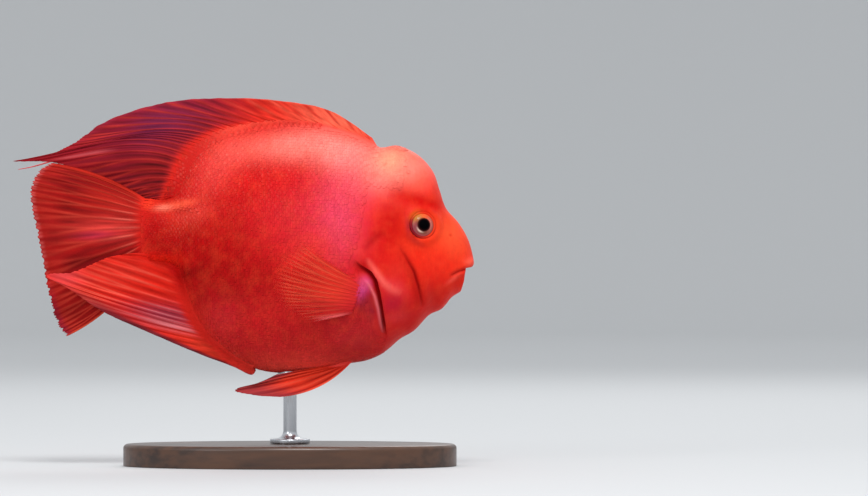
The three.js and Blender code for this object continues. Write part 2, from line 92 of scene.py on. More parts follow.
def place_camera():
    data = bpy.data.cameras.new("camera")
    data.sensor_width = SENSOR
    data.lens = SENSOR * CAMERA_DISTANCE / (PICTURE_WIDTH * MM_PER_PIXEL)
    data.clip_end = CAMERA_SIGHT * MM
    camera = add_object("camera", data)
    camera.location = (PICTURE_MIDDLE[0] * MM, -CAMERA_DISTANCE * MM, PICTURE_MIDDLE[1] * MM)
    camera.rotation_euler = (math.radians(90), 0, 0)
    bpy.context.scene.camera = camera


# Shader maths
def srgb(red, green, blue):
    """A colour given as 0 to 255 numbers, as the shader's linear colour."""
    parts = [v / 255 for v in (red, green, blue)]
    return tuple(v / 12.92 if v <= 0.04045 else ((v + 0.055) / 1.055) ** 2.4 for v in parts) + (1.0,)


class Wire:
    """A socket that takes part in Python sums: each sum adds its Math node."""

    def __init__(self, paint, socket):
        self.paint = paint
        self.socket = socket

    def math(self, operation, *values):
        return self.paint.node("ShaderNodeMath", {"operation": operation}, [self, *values])

    def __add__(self, other):
        return self.math("ADD", other)

    __radd__ = __add__

    def __mul__(self, other):
        return self.math("MULTIPLY", other)

    __rmul__ = __mul__

    def __sub__(self, other):
        return self.math("SUBTRACT", other)

    def __rsub__(self, other):
        return self.paint.node("ShaderNodeMath", {"operation": "SUBTRACT"}, [other, self])

    def between(self, low, high):
        """0 below low, 1 above high and smooth in the middle; low may be the larger."""
        settings = {"interpolation_type": "SMOOTHSTEP"}
        return self.paint.node("ShaderNodeMapRange", settings, {0: self, 1: low, 2: high, 3: 0.0, 4: 1.0})


class Paint:
    """A material under construction."""

    def __init__(self, name):
        self.material = bpy.data.materials.new(name)
        self.material.use_nodes = True
        self.tree = self.material.node_tree
        self.tree.nodes.clear()

    def node(self, kind, settings=None, inputs=(), output=0):
        """Adds a node: its settings, then its sockets by place or name. Returns one output as a Wire."""
        made = self.tree.nodes.new(kind)
        for key, value in (settings or {}).items():
            setattr(made, key, value)
        pairs = inputs.items() if isinstance(inputs, dict) else enumerate(inputs)
        for key, value in pairs:
            if isinstance(value, Wire):
                self.tree.links.new(value.socket, made.inputs[key])
            else:
                made.inputs[key].default_value = value
        return Wire(self, made.outputs[output]) if len(made.outputs) else made

    def number(self, name):
        return self.node("ShaderNodeAttribute", {"attribute_name": name}, output="Fac")

    def colour(self, name):
        return self.node("ShaderNodeAttribute", {"attribute_name": name}, output="Color")

    def mix(self, share, first, second):
        return self.node("ShaderNodeMix", {"data_type": "RGBA"}, {0: share, 6: first, 7: second}, output=2)

    def times(self, colour, number):
        """A colour made lighter or darker by a number."""
        return self.node("ShaderNodeVectorMath", {"operation": "SCALE"}, {0: colour, "Scale": number})

    def noise(self, size, detail, stretch=(1, 1, 1)):
        """Noise whose patches are about size millimetres wide, longer along an axis of small stretch."""
        position = self.node("ShaderNodeTexCoord", output="Object")
        place = self.node("ShaderNodeMapping", {}, {"Vector": position, "Scale": stretch})
        inputs = {"Vector": place, "Scale": 1 / (size * MM), "Detail": detail}
        return self.node("ShaderNodeTexNoise", {"noise_dimensions": "3D"}, inputs, "Fac")

    def bump(self, height, depth, under=None):
        """A bump of depth millimetres, over another normal if one is given."""
        inputs = {"Height": height, "Distance": depth * MM, "Strength": 1.0}
        if under:
            inputs["Normal"] = under
        return self.node("ShaderNodeBump", {}, inputs)

    def surface(self, **sockets):
        """Ends the material in one Principled shader; underscores in names stand for spaces."""
        named = {key.replace("_", " "): value for key, value in sockets.items()}
        shader = self.node("ShaderNodeBsdfPrincipled", {}, named)
        self.node("ShaderNodeOutputMaterial", {}, {"Surface": shader})
        return self.material


# Body: the same sections as the part's. Each row: top x, top z, belly x, belly z, half width,
# level of the widest place, top fullness, belly fullness.
SECTIONS = np.array([
    [79.0, -10.1, 79.0, -10.1, 0.0, 0.5, 1.0, 1.0],
    [81.7, -9.5, 79.0, -12.4, 4.2, 0.5, 0.9, 0.9],
    [82.6, -6.8, 78.5, -15.8, 6.8, 0.5, 0.85, 0.9],
    [82.1, -2.7, 77.2, -20.2, 9.0, 0.52, 0.85, 0.95],
    [80.1, 3.6, 72.9, -23.2, 11.6, 0.52, 0.85, 1.0],
    [76.0, 10.6, 68.4, -28.4, 14.2, 0.5, 0.85, 1.0],
    [70.4, 17.1, 62.6, -31.3, 17.0, 0.48, 0.85, 1.0],
    [67.5, 25.2, 56.2, -38.0, 19.4, 0.5, 0.75, 0.95],
    [64.4, 33.8, 49.5, -42.1, 21.3, 0.52, 0.7, 0.95],
    [57.6, 41.2, 42.8, -47.7, 23.0, 0.53, 0.7, 0.95],
    [48.6, 45.2, 35.1, -51.3, 24.6, 0.54, 0.75, 0.95],
    [40.1, 44.7, 27.0, -52.8, 25.6, 0.54, 0.9, 0.92],
    [29.2, 50.2, 18.0, -54.8, 26.0, 0.55, 1.05, 0.9],
    [15.8, 53.8, 6.8, -56.7, 25.8, 0.55, 1.1, 0.9],
    [0.0, 54.9, -4.5, -57.1, 24.8, 0.55, 1.1, 0.92],
    [-14.4, 53.6, -15.8, -55.1, 22.8, 0.54, 1.1, 0.95],
    [-27.0, 50.6, -27.0, -49.1, 19.8, 0.53, 1.1, 1.0],
    [-36.9, 45.9, -36.9, -41.0, 16.2, 0.52, 1.1, 1.05],
    [-43.6, 39.1, -43.2, -31.5, 13.2, 0.5, 1.05, 1.05],
    [-47.7, 31.1, -47.5, -20.2, 10.8, 0.5, 1.0, 1.0],
    [-50.4, 24.8, -50.0, -11.7, 9.2, 0.5, 0.95, 0.95],
    [-54.9, 21.2, -54.0, -7.7, 7.8, 0.5, 0.9, 0.9],
    [-61.6, 20.9, -61.2, -7.2, 5.8, 0.5, 0.85, 0.85],
    [-67.0, 21.8, -67.0, -7.7, 3.2, 0.5, 0.8, 0.8],
])
LAST_PLACE = len(SECTIONS) - 1
TAIL_SWEEP, TAIL_SWEEP_START, TAIL_SWEEP_END = 4.0, 5.0, -115.0
SKIN_DEPTH = 0.2  # how far the skin lies inside the solids, for the scales' thickness

# Lines on the side of the fish, each a list of [x, z]
GILL_EDGE = [
    [42, 60], [40.5, 44.6], [36.9, 34.2], [34.2, 20.7], [32.4, 9.5], [30.2, 0.5], [29.7, -5.4],
    [32.4, -8.3], [37.2, -11.2], [39.8, -15.2], [41.2, -20.9], [42.6, -29.2], [43.7, -36], [44.2, -41],
    [43.4, -48.1], [42.5, -62],
]
CHEEK_CREASE = [[49.3, -0.2], [52.8, -5.9], [56.0, -11.6], [57.9, -17.9], [59.1, -23.6], [59.8, -27.4]]
COVER_FOLD = [[43.5, 5.5], [39.5, 4.0], [36.0, 0.5], [33.8, -4.0]]
SHOULDER_RIDGE = [[34.4, -15.2], [36.4, -18.3], [38.4, -22.4], [40.0, -28.4], [41.0, -34.5], [42.1, -39.2]]
BROW = [[71.5, 16.6], [66.0, 17.4], [60.0, 19.2], [52.0, 21.6], [44.0, 22.5]]
MOUTH_LINE = [[84.0, -9.6], [79.0, -10.3], [75.2, -11.7], [71.5, -14.0]]
STOCK_RIDGE = [[-40.0, 17.0], [-50.0, 18.0], [-63.0, 19.0]]
COVER_LIP = [[34.8, -5.5], [37.3, -9.0], [39.8, -12.6], [42.6, -16.6], [46.0, -19.2], [50.5, -21.0]]
BACK_LINE = [
    [36, 49], [16, 57.5], [-1, 58.5], [-16, 57], [-28, 53], [-37, 47.5], [-44, 40.5], [-48.5, 32],
    [-51.5, 25],
]
VENT_LINE = [[-19, -54.5], [-26.6, -50], [-32, -46], [-39, -39], [-44, -30.5], [-47.5, -21.5], [-50, -14]]

EYE = {"x": 59.7, "z": 9.2, "radius": 6.0, "depth": 4.2, "sunk": 2.1, "pupil": 2.9}
NOSTRIL = (72.4, 4.6)


def ease(value):
    t = np.clip(value, 0.0, 1.0)
    return t * t * (3 - 2 * t)


def bell(distance, width):
    return np.exp(-((distance / width) ** 2))


def unit(vectors):
    """The same directions, each one long."""
    return vectors / np.maximum(np.linalg.norm(vectors, axis=-1, keepdims=True), 1e-9)


def arc_length(points):
    """How far along a curve each of its points lies."""
    return np.concatenate([[0], np.cumsum(np.linalg.norm(np.diff(points, axis=0), axis=1))])


def along(rows, place):
    """A smooth curve through the rows of a table, at places between 0 and its last row."""
    rows = np.asarray(rows, dtype=float)
    place = np.asarray(place, dtype=float)
    last = len(rows) - 1
    i = np.clip(np.floor(place).astype(int), 0, last - 1)
    t = (place - i)[..., None]
    a, b, c, d = (rows[np.clip(i + k, 0, last)] for k in (-1, 0, 1, 2))
    return 0.5 * (2 * b + (c - a) * t + (2 * a - 5 * b + 4 * c - d) * t**2 + (3 * b - a - 3 * c + d) * t**3)


def swing(x):
    """How far the tail is swung to the fish's left at one x."""
    return TAIL_SWEEP * ease((TAIL_SWEEP_START - x) / (TAIL_SWEEP_START - TAIL_SWEEP_END))


def body(place, angle):
    """A point of the bare body at a place along the sections and an angle round them, 0 on the back."""
    place, angle = np.broadcast_arrays(place, angle)
    top_x, top_z, low_x, low_z, half, level, top_full, low_full = np.moveaxis(along(SECTIONS, place), -1, 0)
    down = ((1 - np.cos(angle)) / 2) ** (np.log(level) / np.log(0.5))
    fullness = np.where(np.cos(angle) > 0, top_full, low_full)
    out = np.maximum(half, 0) * np.abs(np.sin(angle)) ** fullness * np.sign(np.sin(angle))
    return np.stack([top_x + (low_x - top_x) * down, out, top_z + (low_z - top_z) * down], -1)


def body_normal(place, angle):
    step = 0.02
    place = np.clip(place, step, LAST_PLACE - step)
    lengthwise = body(place + step, angle) - body(place - step, angle)
    round_it = body(place, angle + step) - body(place, angle - step)
    return unit(np.cross(round_it, lengthwise))


def from_line(line, x, z):
    """How far points lie from a line in the side view, positive to its left, and how far along, 0 to 1."""
    best = np.full(np.shape(x), 1e9)
    side = np.zeros(np.shape(x))
    share = np.zeros(np.shape(x))
    for i in range(len(line) - 1):
        (x0, z0), (x1, z1) = line[i], line[i + 1]
        run_x, run_z = x1 - x0, z1 - z0
        t = np.clip(((x - x0) * run_x + (z - z0) * run_z) / (run_x**2 + run_z**2), 0, 1)
        gap = np.hypot(x - x0 - t * run_x, z - z0 - t * run_z)
        nearer = gap < best
        best = np.where(nearer, gap, best)
        side = np.where(nearer, np.sign((x - x0) * -run_z + (z - z0) * run_x), side)
        share = np.where(nearer, (i + t) / (len(line) - 1), share)
    return best * side, share


def tapered(share, power=0.6):
    """1 along a line and 0 at its two ends."""
    return np.sin(np.pi * np.clip(share, 0, 1)) ** power


def stroke(x, z, line, width, offset=0, power=0.6):
    """1 on a line in the side view, or offset mm to its left, fading to 0 across it and at its ends."""
    gap, share = from_line(line, x, z)
    return bell(gap - offset, width) * tapered(share, power)


def oval(x, z, middle, reach, turn=0):
    """1 in the middle of a soft oval in the side view, fading to 0; turned by so many degrees."""
    c, s = math.cos(math.radians(turn)), math.sin(math.radians(turn))
    across, up = x - middle[0], z - middle[1]
    return np.exp(-(((across * c + up * s) / reach[0]) ** 2) - ((up * c - across * s) / reach[1]) ** 2)


def ovals(x, z, table):
    """Soft ovals added up, each row of the table a strength and an oval's middle, reach and turn."""
    return sum(strength * oval(x, z, *place) for strength, *place in table)


# Relief in mm outwards. Each oval: height, middle, reach, turn. Each stroke: height, line, width and, for
# some, how far to the line's left it lies and how sharply it ends
HEAD_OVALS = [
    (1.2, (47, -18), (13, 15)),  # cheek
    (0.8, (66, -14), (8, 11)),  # jowl
    (0.7, (81.6, -6.9), (1.7, 1.7)),  # tip of the upper lip
    (0.8, (79.5, -7.6), (3.0, 3 / 0.9)),  # upper lip
    (0.5, (76.5, -14.5), (3.2, 4.0)),  # lower lip
]
HEAD_STROKES = [
    (-1.1, BROW, 3.4), (-0.7, COVER_FOLD, 2.0),
    (-1.2, CHEEK_CREASE, 0.75), (0.55, CHEEK_CREASE, 2.0, 2.4), (0.3, CHEEK_CREASE, 1.6, -2.2),
]
TRUNK_OVALS = [
    (-1.9, (34.0, -9.6), (4.2, 3.4)),  # hollow over the root of the pectoral fin
    (-1.1, (35.3, -26.5), (3.0, 7.5), -8),  # hollow behind the gill cover
    (0.7, (31.0, -22.0), (3.4, 7.0), -14),  # root of the pectoral fin
]
TRUNK_STROKES = [(0.9, SHOULDER_RIDGE, 0.8, 0, 0.5), (0.8, STOCK_RIDGE, 2.6)]
ORBIT, SOCKET, SOCKET_DEPTH = 7.2, 6.2, 4.5  # radius of the rim round the eye, and of the socket


def relief(x, z, swells, strokes):
    """Swellings and hollows, with the dip of the nape, which the head and the trunk share."""
    nape = -1.2 * bell(x - (40 + 0.1 * (44 - z)), 4) * ease((z - 18) / 16)
    return nape + ovals(x, z, swells) + sum(height * stroke(x, z, *how) for height, *how in strokes)


def head_relief(x, z):
    """The head's relief, with its mouth, nostril and eye socket."""
    gap, share = from_line(MOUTH_LINE, x, z)
    mouth = -0.9 * bell(gap, 0.5) + 0.3 * bell(gap - 1.4, 1.0) + 0.2 * bell(gap + 1.6, 1.0)
    mouth = mouth * (1 - ease((share - 0.78) / 0.22))
    from_nostril = np.hypot(x - NOSTRIL[0], z - NOSTRIL[1])
    nostril = 0.2 * bell(from_nostril - 1.4, 0.6) - bell(from_nostril, 0.6)
    from_eye = np.hypot(x - EYE["x"], z - EYE["z"])
    orbit = 0.9 * bell(from_eye - ORBIT, 1.9)
    total = relief(x, z, HEAD_OVALS, HEAD_STROKES) + mouth + nostril + orbit
    socket = SOCKET_DEPTH * (1 - ease((from_eye - SOCKET + 2.0) / 1.8))
    return np.where(from_eye < SOCKET, np.minimum(total, orbit) - socket, total)


# Skin
HEAD_RINGS, TRUNK_RINGS, SKIN_SIDES = 190, 128, 288
GILL_SPAN = (6.0, 15.0)  # sections between which the gill cover's edge crosses the body
SLOT_TOP, SLOT_LOW = -6.0, -42.0  # heights between which the gill cover stands free
SLOT_FADE = (5, 7)  # how softly it comes free at those two
# Rings that turn under the free edge of the gill cover: how far behind the edge, how far outwards
SLOT_RINGS = [(0.0, 0.25), (0.35, -0.2), (0.15, -0.9), (-0.7, -1.6), (-0.2, -2.2), (0.8, -2.2), (1.5, -1.7)]
SLOT_STEP = 0.3  # spacing of those rings where the edge is fused
TRUNK_START = 1.9  # where the trunk's own rings begin behind the edge
SHOULDER_DIP, SHOULDER_RUN, SHOULDER_BEHIND = 1.0, 1.8, 1.5  # the dip that the cover's edge stands over
COVER_FADE = 6  # how far behind the edge the head's relief fades into the trunk's
# How far forward lips and chin reach at some heights, and how much is left of what reaches further
SNOUT_Z = [-24.0, -20.0, -15.8, -12.9, -9.9, -9.2]
SNOUT_X = [74.4, 77.0, 78.2, 78.5, 78.9, 84.0]
SNOUT_LEFT = 0.12
TAIL_BULGE = 2.6
# Rings that close the tail end: how wide they are, and how flat the bulge is there
TAIL_CAP = [(0.97, 0.3), (0.75, 0.7), (0.4, 0.93), (0.0, 1.0)]


def line_x(line, z):
    heights = [p[1] for p in line][::-1]
    return np.interp(z, heights, [p[0] for p in line][::-1])


def gill_place(angle):
    """The place along the sections where the gill line crosses each angle, found by halving."""
    low, high = (np.full(angle.shape, end) for end in GILL_SPAN)
    for _ in range(40):
        middle = (low + high) / 2
        point = body(middle, angle)
        ahead = point[..., 0] > line_x(GILL_EDGE, point[..., 2])
        low, high = np.where(ahead, middle, low), np.where(ahead, high, middle)
    return (low + high) / 2


def skin_points():
    """The skin's points, ring by ring from the mouth to the tail, with how deep in a slot each lies."""
    angle = np.linspace(0, 2 * np.pi, SKIN_SIDES + 1)
    edge = gill_place(angle)
    edge_z = body(edge, angle)[..., 2]
    free = ease((SLOT_TOP - edge_z) / SLOT_FADE[0]) * ease((edge_z - SLOT_LOW) / SLOT_FADE[1])
    speed = np.linalg.norm(body(edge + 0.1, angle) - body(edge - 0.1, angle), axis=-1) / 0.2
    flank = np.abs(np.sin(angle)) ** 0.7
    rings, slots = [], []

    def side_view(place):
        point = body(place, angle)
        return point[..., 0], point[..., 2]

    def add(place, lift, slot):
        rings.append(body(place, angle) + body_normal(place, angle) * (lift - SKIN_DEPTH)[:, None])
        slots.append(slot * np.ones(angle.shape))

    for i in range(HEAD_RINGS):
        t = i / HEAD_RINGS
        place = edge * (t - 0.5 * math.sin(2 * math.pi * t) / (2 * math.pi))
        add(place, head_relief(*side_view(place)) * flank, 0)
    at_edge = head_relief(*side_view(edge)) * flank
    for k, (behind, out) in enumerate(SLOT_RINGS):
        back = behind * free + k * SLOT_STEP * (1 - free)
        add(edge + back / speed, at_edge + out * free, free * ease(-out / 1.5))
    start = TRUNK_START / speed
    for i in range(TRUNK_RINGS + 1):
        t = i / TRUNK_RINGS
        place = edge + start + (LAST_PLACE - edge - start) * (0.45 * t + 0.55 * t * t)
        behind = (place - edge) * speed
        share = ease(behind / COVER_FADE)
        lift = relief(*side_view(place), TRUNK_OVALS, TRUNK_STROKES) * flank * share
        lift = lift + at_edge * flank / np.maximum(flank, 0.2) * (1 - share)
        dip = SHOULDER_DIP * free * bell(behind - SHOULDER_BEHIND, SHOULDER_RUN)
        add(place, lift - dip, free * bell(behind - SHOULDER_BEHIND, 1.6))
    points = np.array(rings)
    front = np.interp(points[..., 2], SNOUT_Z, SNOUT_X)
    over = points[..., 0] - front
    points[..., 0] = np.where(over > 0, front + SNOUT_LEFT * over, points[..., 0])
    points[-1, :, 0] = SECTIONS[-1, 0]
    points[..., 1] += swing(points[..., 0])
    points[..., 2] += BODY_HEIGHT
    return points, np.array(slots)


# Colours of the fish: the ground, and soft zones painted over it one after the other. Some zones are painted
# highlights or painted shade, as noted beside them.
# Each zone: colour, strength, middle, reach and, for some, by how many degrees it is turned
GROUND = (206, 20, 20)
ZONES = [
    # flank and back
    ((166, 6, 6), 0.8, (-34, -4), (26, 30)),
    ((150, 8, 8), 0.8, (-22, -24), (26, 16)),
    ((204, 40, 42), 0.9, (4, -48), (46, 13)),
    ((255, 80, 68), 1.0, (4, -57), (36, 7.5), 3),
    ((176, 26, 28), 0.6, (8, -38), (24, 8)),
    ((206, 30, 34), 0.6, (-6, -30), (26, 12)),
    ((210, 12, 12), 0.7, (-8, 30), (24, 8), 6),
    # the pale band along the upper back: the fish's own paler colour with a painted highlight from light above
    ((240, 74, 68), 0.6, (-31, 36), (16, 8), 50),
    ((246, 98, 86), 0.95, (-4, 45), (26, 6.5), 5),
    ((255, 136, 124), 0.6, (3, 45), (12, 6), 3),
    ((255, 130, 118), 0.95, (23, 42), (17, 9), -18),
    ((255, 152, 140), 0.6, (26, 41), (13, 6), -20),
    ((255, 142, 132), 0.85, (29, 37), (10, 8), -30),
    # the flank's pink: the fish's own colour, with a painted sheen in the middle of the flank
    ((240, 74, 88), 0.8, (30, 28), (12, 10), -20),
    ((240, 76, 110), 0.85, (21, 11), (12, 17)),
    ((230, 50, 38), 0.7, (10, -3), (12, 9), 35),
    ((214, 40, 52), 0.6, (4, 12), (18, 16)),
    # head
    ((240, 44, 18), 0.95, (68, 2), (24, 30)),
    ((194, 9, 7), 0.9, (46, 10), (9, 12)),
    # the hump: its own pale salmon colour, with a painted highlight on its top
    ((250, 96, 84), 0.95, (60, 34), (10, 11), -30),
    ((255, 128, 116), 0.9, (42, 34), (10, 9), -14),
    ((255, 168, 132), 0.9, (47, 38), (8, 6), -14),
    ((246, 62, 38), 0.5, (58, 29), (6, 4.2), -10),
    ((255, 128, 112), 0.8, (54, 35), (7, 6), 20),
    ((236, 44, 28), 0.7, (65.5, 22.5), (4, 5), -20),
    ((255, 90, 50), 0.8, (73, 5), (8, 11), 10),
    ((236, 32, 22), 0.6, (66, -9), (9, 9)),
    ((206, 26, 24), 0.7, (64, -24), (9, 7), 30),
    ((218, 40, 32), 0.8, (48.5, -12), (4.5, 6), 25),
    ((236, 48, 66), 0.8, (47.0, -19), (5.5, 3.6), -30),
    ((186, 26, 48), 0.85, (46.5, -26), (6.0, 5.5)),
    ((222, 52, 60), 0.6, (49, -32), (7, 2.6), 10),
    ((204, 22, 20), 0.7, (49, -37), (8, 2.4), 6),
    ((204, 28, 24), 0.8, (57, -36), (15, 7), 36),
    ((200, 44, 50), 0.85, (31, -42), (12, 9)),
    ((180, 32, 36), 0.6, (25, -33), (9, 6)),
    # behind the gill cover
    # painted shade in the hollow over the root of the pectoral fin
    ((176, 6, 6), 0.9, (33.4, -9.4), (4.0, 3.2)),
    ((150, 18, 40), 0.9, (34.4, -25.5), (3.6, 7.0), -8),
    ((216, 70, 134), 0.85, (33.0, -19.2), (2.6, 5.2), -26),
    ((138, 20, 40), 0.8, (37.2, -29.0), (2.2, 6), -8),
    ((214, 70, 118), 0.95, (34.8, -16.6), (3.0, 2.6), -40),
    # more painted shade in that hollow, at the top of the gill slot
    ((184, 8, 10), 0.8, (35.0, -11.1), (2.6, 1.6)),
    # round the mouth
    # painted shade under the upper lip
    ((184, 18, 18), 0.7, (75.3, -12.4), (3.2, 1.8), 25),
    # painted highlight on the lower lip
    ((248, 84, 70), 0.75, (73.4, -14.8), (3.6, 0.9), 36),
    ((252, 96, 76), 0.8, (81.0, -7.2), (2.4, 2.0)),
    # tail stock and the roots of the fins
    ((174, 10, 8), 0.9, (-57, 3), (12, 9)),
    ((236, 52, 30), 0.85, (-63, 19), (8, 3), -6),
    # painted highlight along the ridge on top of the tail stock
    ((246, 88, 60), 0.95, (-49, 18.6), (8, 1.7), 12),
    ((255, 128, 104), 0.95, (-56.5, 17.3), (4.0, 1.3), 5),
    # painted shadow where the root of the anal fin meets the tail stock
    ((118, 2, 2), 0.7, (-45.5, -12.5), (6, 3), 20),
    ((206, 40, 30), 0.7, (-69, 9), (3.5, 12)),
    ((236, 30, 14), 0.9, (-58, -5.6), (10, 2.6), -3),
    # painted highlight running on from the tail stock's ridge
    ((236, 70, 56), 0.6, (-43, 14.5), (9, 4), 10),
    ((214, 40, 52), 0.5, (-30, -33), (9, 9)),
    # round the eye
    ((234, 60, 24), 0.65, (60, 9), (8.5, 8.5)),
    ((214, 108, 30), 0.7, (56.2, 14.0), (3.0, 1.5), 40),
    # painted shadow crescent at the rear of the eye
    ((150, 24, 44), 0.7, (53.4, 9.0), (1.4, 4.0), 8),
    ((170, 22, 30), 0.5, (57.0, 1.8), (4.0, 1.4), -30),
    ((140, 14, 14), 0.5, (55.6, 4.0), (2.6, 0.9), -45),
]


def blend(base, *layers):
    """Colours laid over a base: each layer is a paint's 0 to 255 numbers and where it shows, 0 to 1."""
    tone = np.ones(np.shape(layers[0][1]) + (4,)) * srgb(*base)
    for colour, share in layers:
        share = np.clip(share, 0, 1)[..., None]
        tone = tone * (1 - share) + np.array(srgb(*colour)) * share
    return tone


def zone_colours(x, z):
    """The skin's colour at places in the side view, with painted highlights and painted shade in some of its
    zones.
    """
    layers = [(colour, strength * oval(x, z, *place)) for colour, strength, *place in ZONES]
    layers.append(((206, 5, 3), 0.95 * stroke(x, z, BROW, 3.8)))
    gap, share = from_line(COVER_LIP, x, z)
    layers.append(((252, 104, 94), 0.75 * bell(gap, 1.1 + 0.8 * share) * tapered(share, 0.5)))
    gap, share = from_line(BACK_LINE, x, z)
    layers.append(((240, 82, 64), 0.7 * bell(gap, 4.2) * ease((0.75 - share) / 0.3)))
    rear = ease((share - 0.45) / 0.3) * ease((1.06 - share) / 0.2)
    layers.append(((190, 34, 28), 0.8 * bell(gap, 4.6) * rear))
    gap, share = from_line(VENT_LINE, x, z)
    layers.append(((220, 44, 32), 0.7 * bell(gap, 4.0) * ease((1.1 - share) / 0.4)))
    # painted shadow where the lowest rays of the dorsal fin meet the body
    layers.append(((128, 10, 10), 0.8 * oval(x, z, (-56.5, 25.5), (4.5, 4.5))))
    return blend(GROUND, *layers)


def skin_masks(x, z):
    """Painted shade in the creases, the mouth and the nostril, and a paler line along the shoulder ridge, each
    0 to 1.
    """
    gap, share = from_line(MOUTH_LINE, x, z)
    dark = [
        0.75 * stroke(x, z, CHEEK_CREASE, 0.7) + 0.4 * stroke(x, z, CHEEK_CREASE, 1.6, -1.6),
        0.4 * bell(gap, 0.5) * (1 - ease((share - 0.4) / 0.4)),
        0.4 * stroke(x, z, COVER_FOLD, 1.8),
        0.45 * oval(x, z, NOSTRIL, (0.6, 0.6)),
    ]
    return np.max(dark, axis=0), 0.8 * stroke(x, z, SHOULDER_RIDGE, 0.7, 0, 0.5)


# Meshes
def dress(mesh, material):
    mesh.polygons.foreach_set("use_smooth", [True] * len(mesh.polygons))
    mesh.materials.append(material)


def new_piece(name, mesh, material, replaced=()):
    """Turns a mesh in millimetres into a finished piece of the model."""
    mesh.transform(Matrix.Scale(MM, 4))
    dress(mesh, material)
    piece = add_object(name, mesh)
    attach(piece, BODY)
    if replaced:
        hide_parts(*replaced)


def to_mesh(name, bm):
    mesh = bpy.data.meshes.new(name)
    bm.to_mesh(mesh)
    bm.free()
    return mesh


def points_of(mesh):
    found = np.empty(len(mesh.vertices) * 3)
    mesh.vertices.foreach_get("co", found)
    return found.reshape(-1, 3)


def corners_of(mesh):
    """The number of the point at each corner of each face."""
    found = np.empty(len(mesh.loops), dtype=np.int32)
    mesh.loops.foreach_get("vertex_index", found)
    return found


def unwrap(mesh, uv):
    mesh.uv_layers.new(name="OFBake").data.foreach_set("uv", uv.astype(np.float32).ravel())


def store(mesh, name, values):
    """Keeps a number or a colour for each point of a mesh."""
    values = np.asarray(values, dtype=np.float32)
    if values.ndim == 1:
        mesh.attributes.new(name, "FLOAT", "POINT").data.foreach_set("value", values)
    else:
        mesh.attributes.new(name, "FLOAT_COLOR", "POINT").data.foreach_set("color", values.ravel())


def flat_sheet(columns, rows, second=0):
    """A square of faces from -1 to 1, with another at the height second, walled in, unless that is 0."""
    bm = bmesh.new()
    bmesh.ops.create_grid(bm, x_segments=columns, y_segments=rows, size=1)
    if second:
        made = bmesh.ops.extrude_face_region(bm, geom=bm.faces[:], use_keep_orig=True)
        verts = [v for v in made["geom"] if isinstance(v, bmesh.types.BMVert)]
        bmesh.ops.translate(bm, verts=verts, vec=(0, 0, second))
    return bm


def grid_mesh(name, columns, rows, points, keep=(), thick=False):
    """A sheet of columns x rows faces, moved to points(i, k, side) and closed where its borders meet.

    A thick one has a second face, side 1, and walls between. keep holds the arrays to store, by i and k.
    """
    mesh = to_mesh(name, flat_sheet(columns, rows, 1 if thick else 0))
    flat = points_of(mesh)
    i = np.rint((flat[:, 0] + 1) / 2 * columns).astype(int)
    k = np.rint((flat[:, 1] + 1) / 2 * rows).astype(int)
    side = np.rint(flat[:, 2]).astype(int)
    corners = corners_of(mesh)
    face_side = side[corners].reshape(-1, 4).min(axis=1).repeat(4)
    u = (i[corners] / columns + face_side) / (2 if thick else 1)
    unwrap(mesh, np.stack([u, k[corners] / rows], -1))
    for title, values in dict(keep).items():
        store(mesh, title, values[i, k])
    mesh.vertices.foreach_set("co", points(i, k, side).ravel())
    bm = bmesh.new()
    bm.from_mesh(mesh)
    bmesh.ops.remove_doubles(bm, verts=bm.verts, dist=2e-4)
    bmesh.ops.recalc_face_normals(bm, faces=bm.faces)
    bm.to_mesh(mesh)
    bm.free()
    return mesh


def make_skin(points, slots, material):
    last = points[-1]
    middle = last.mean(axis=0) - (TAIL_BULGE, 0, 0)
    cap = [middle + (last - middle) * s + ((1 - b) * TAIL_BULGE * (1 - s), 0, 0) for s, b in TAIL_CAP]
    whole = np.concatenate([points, cap])
    slots = np.concatenate([slots, np.zeros((len(cap), slots.shape[1]))])
    mesh = grid_mesh("skin", len(whole) - 1, SKIN_SIDES, lambda i, k, side: whole[i, k], {"slot": slots})
    at = points_of(mesh)
    x, z = at[:, 0], at[:, 2] - BODY_HEIGHT
    # Painted shade for the creases, the mouth and the nostril, and a paler line on the shoulder ridge
    dark, pale = skin_masks(x, z)
    store(mesh, "tone", zone_colours(x, z))
    store(mesh, "painted_crease_shade", dark)
    store(mesh, "pale", pale)
    new_piece("skin", mesh, material, FLESH)


def flesh(paint):
    """What skin and scales share: the colour with its mottling, and the two noises of the grain."""
    fine = paint.noise(0.9, 4.0)
    streaks = paint.noise(1.5, 3.0, stretch=(1.6, 1, 0.35))
    mottle = paint.noise(5, 3.0)
    spots = paint.noise(2.2, 3.0)
    tone = paint.mix(mottle.between(0.35, 0.75) * 0.14, paint.colour("tone"), srgb(255, 90, 50))
    tone = paint.mix(spots.between(0.4, 0.75) * 0.14, tone, srgb(206, 10, 20))
    tone = paint.times(tone, 0.78 + paint.noise(9, 2.0) * 0.2 + fine * 0.12 + streaks * 0.16)
    return tone, fine, mottle


def skin_paint():
    paint = Paint("fish skin")
    tone, fine, mottle = flesh(paint)
    # Painted shade in the gill slot, the creases, the mouth and the nostril; paler along the shoulder ridge
    dark = paint.number("slot").math("MAXIMUM", paint.number("painted_crease_shade"))
    tone = paint.mix(dark, tone, srgb(150, 4, 8))
    tone = paint.mix(paint.number("pale"), tone, srgb(240, 110, 116))
    grain = paint.bump(fine, 0.07, paint.bump(mottle, 0.25))
    return paint.surface(
        Base_Color=tone,
        Roughness=0.4 + fine * 0.16 + dark * 0.4,
        Normal=grain,
        Specular_IOR_Level=0.06,
        Subsurface_Weight=0.12,
        Subsurface_Radius=(1.0, 0.25, 0.12),
        Subsurface_Scale=0.002,
    )


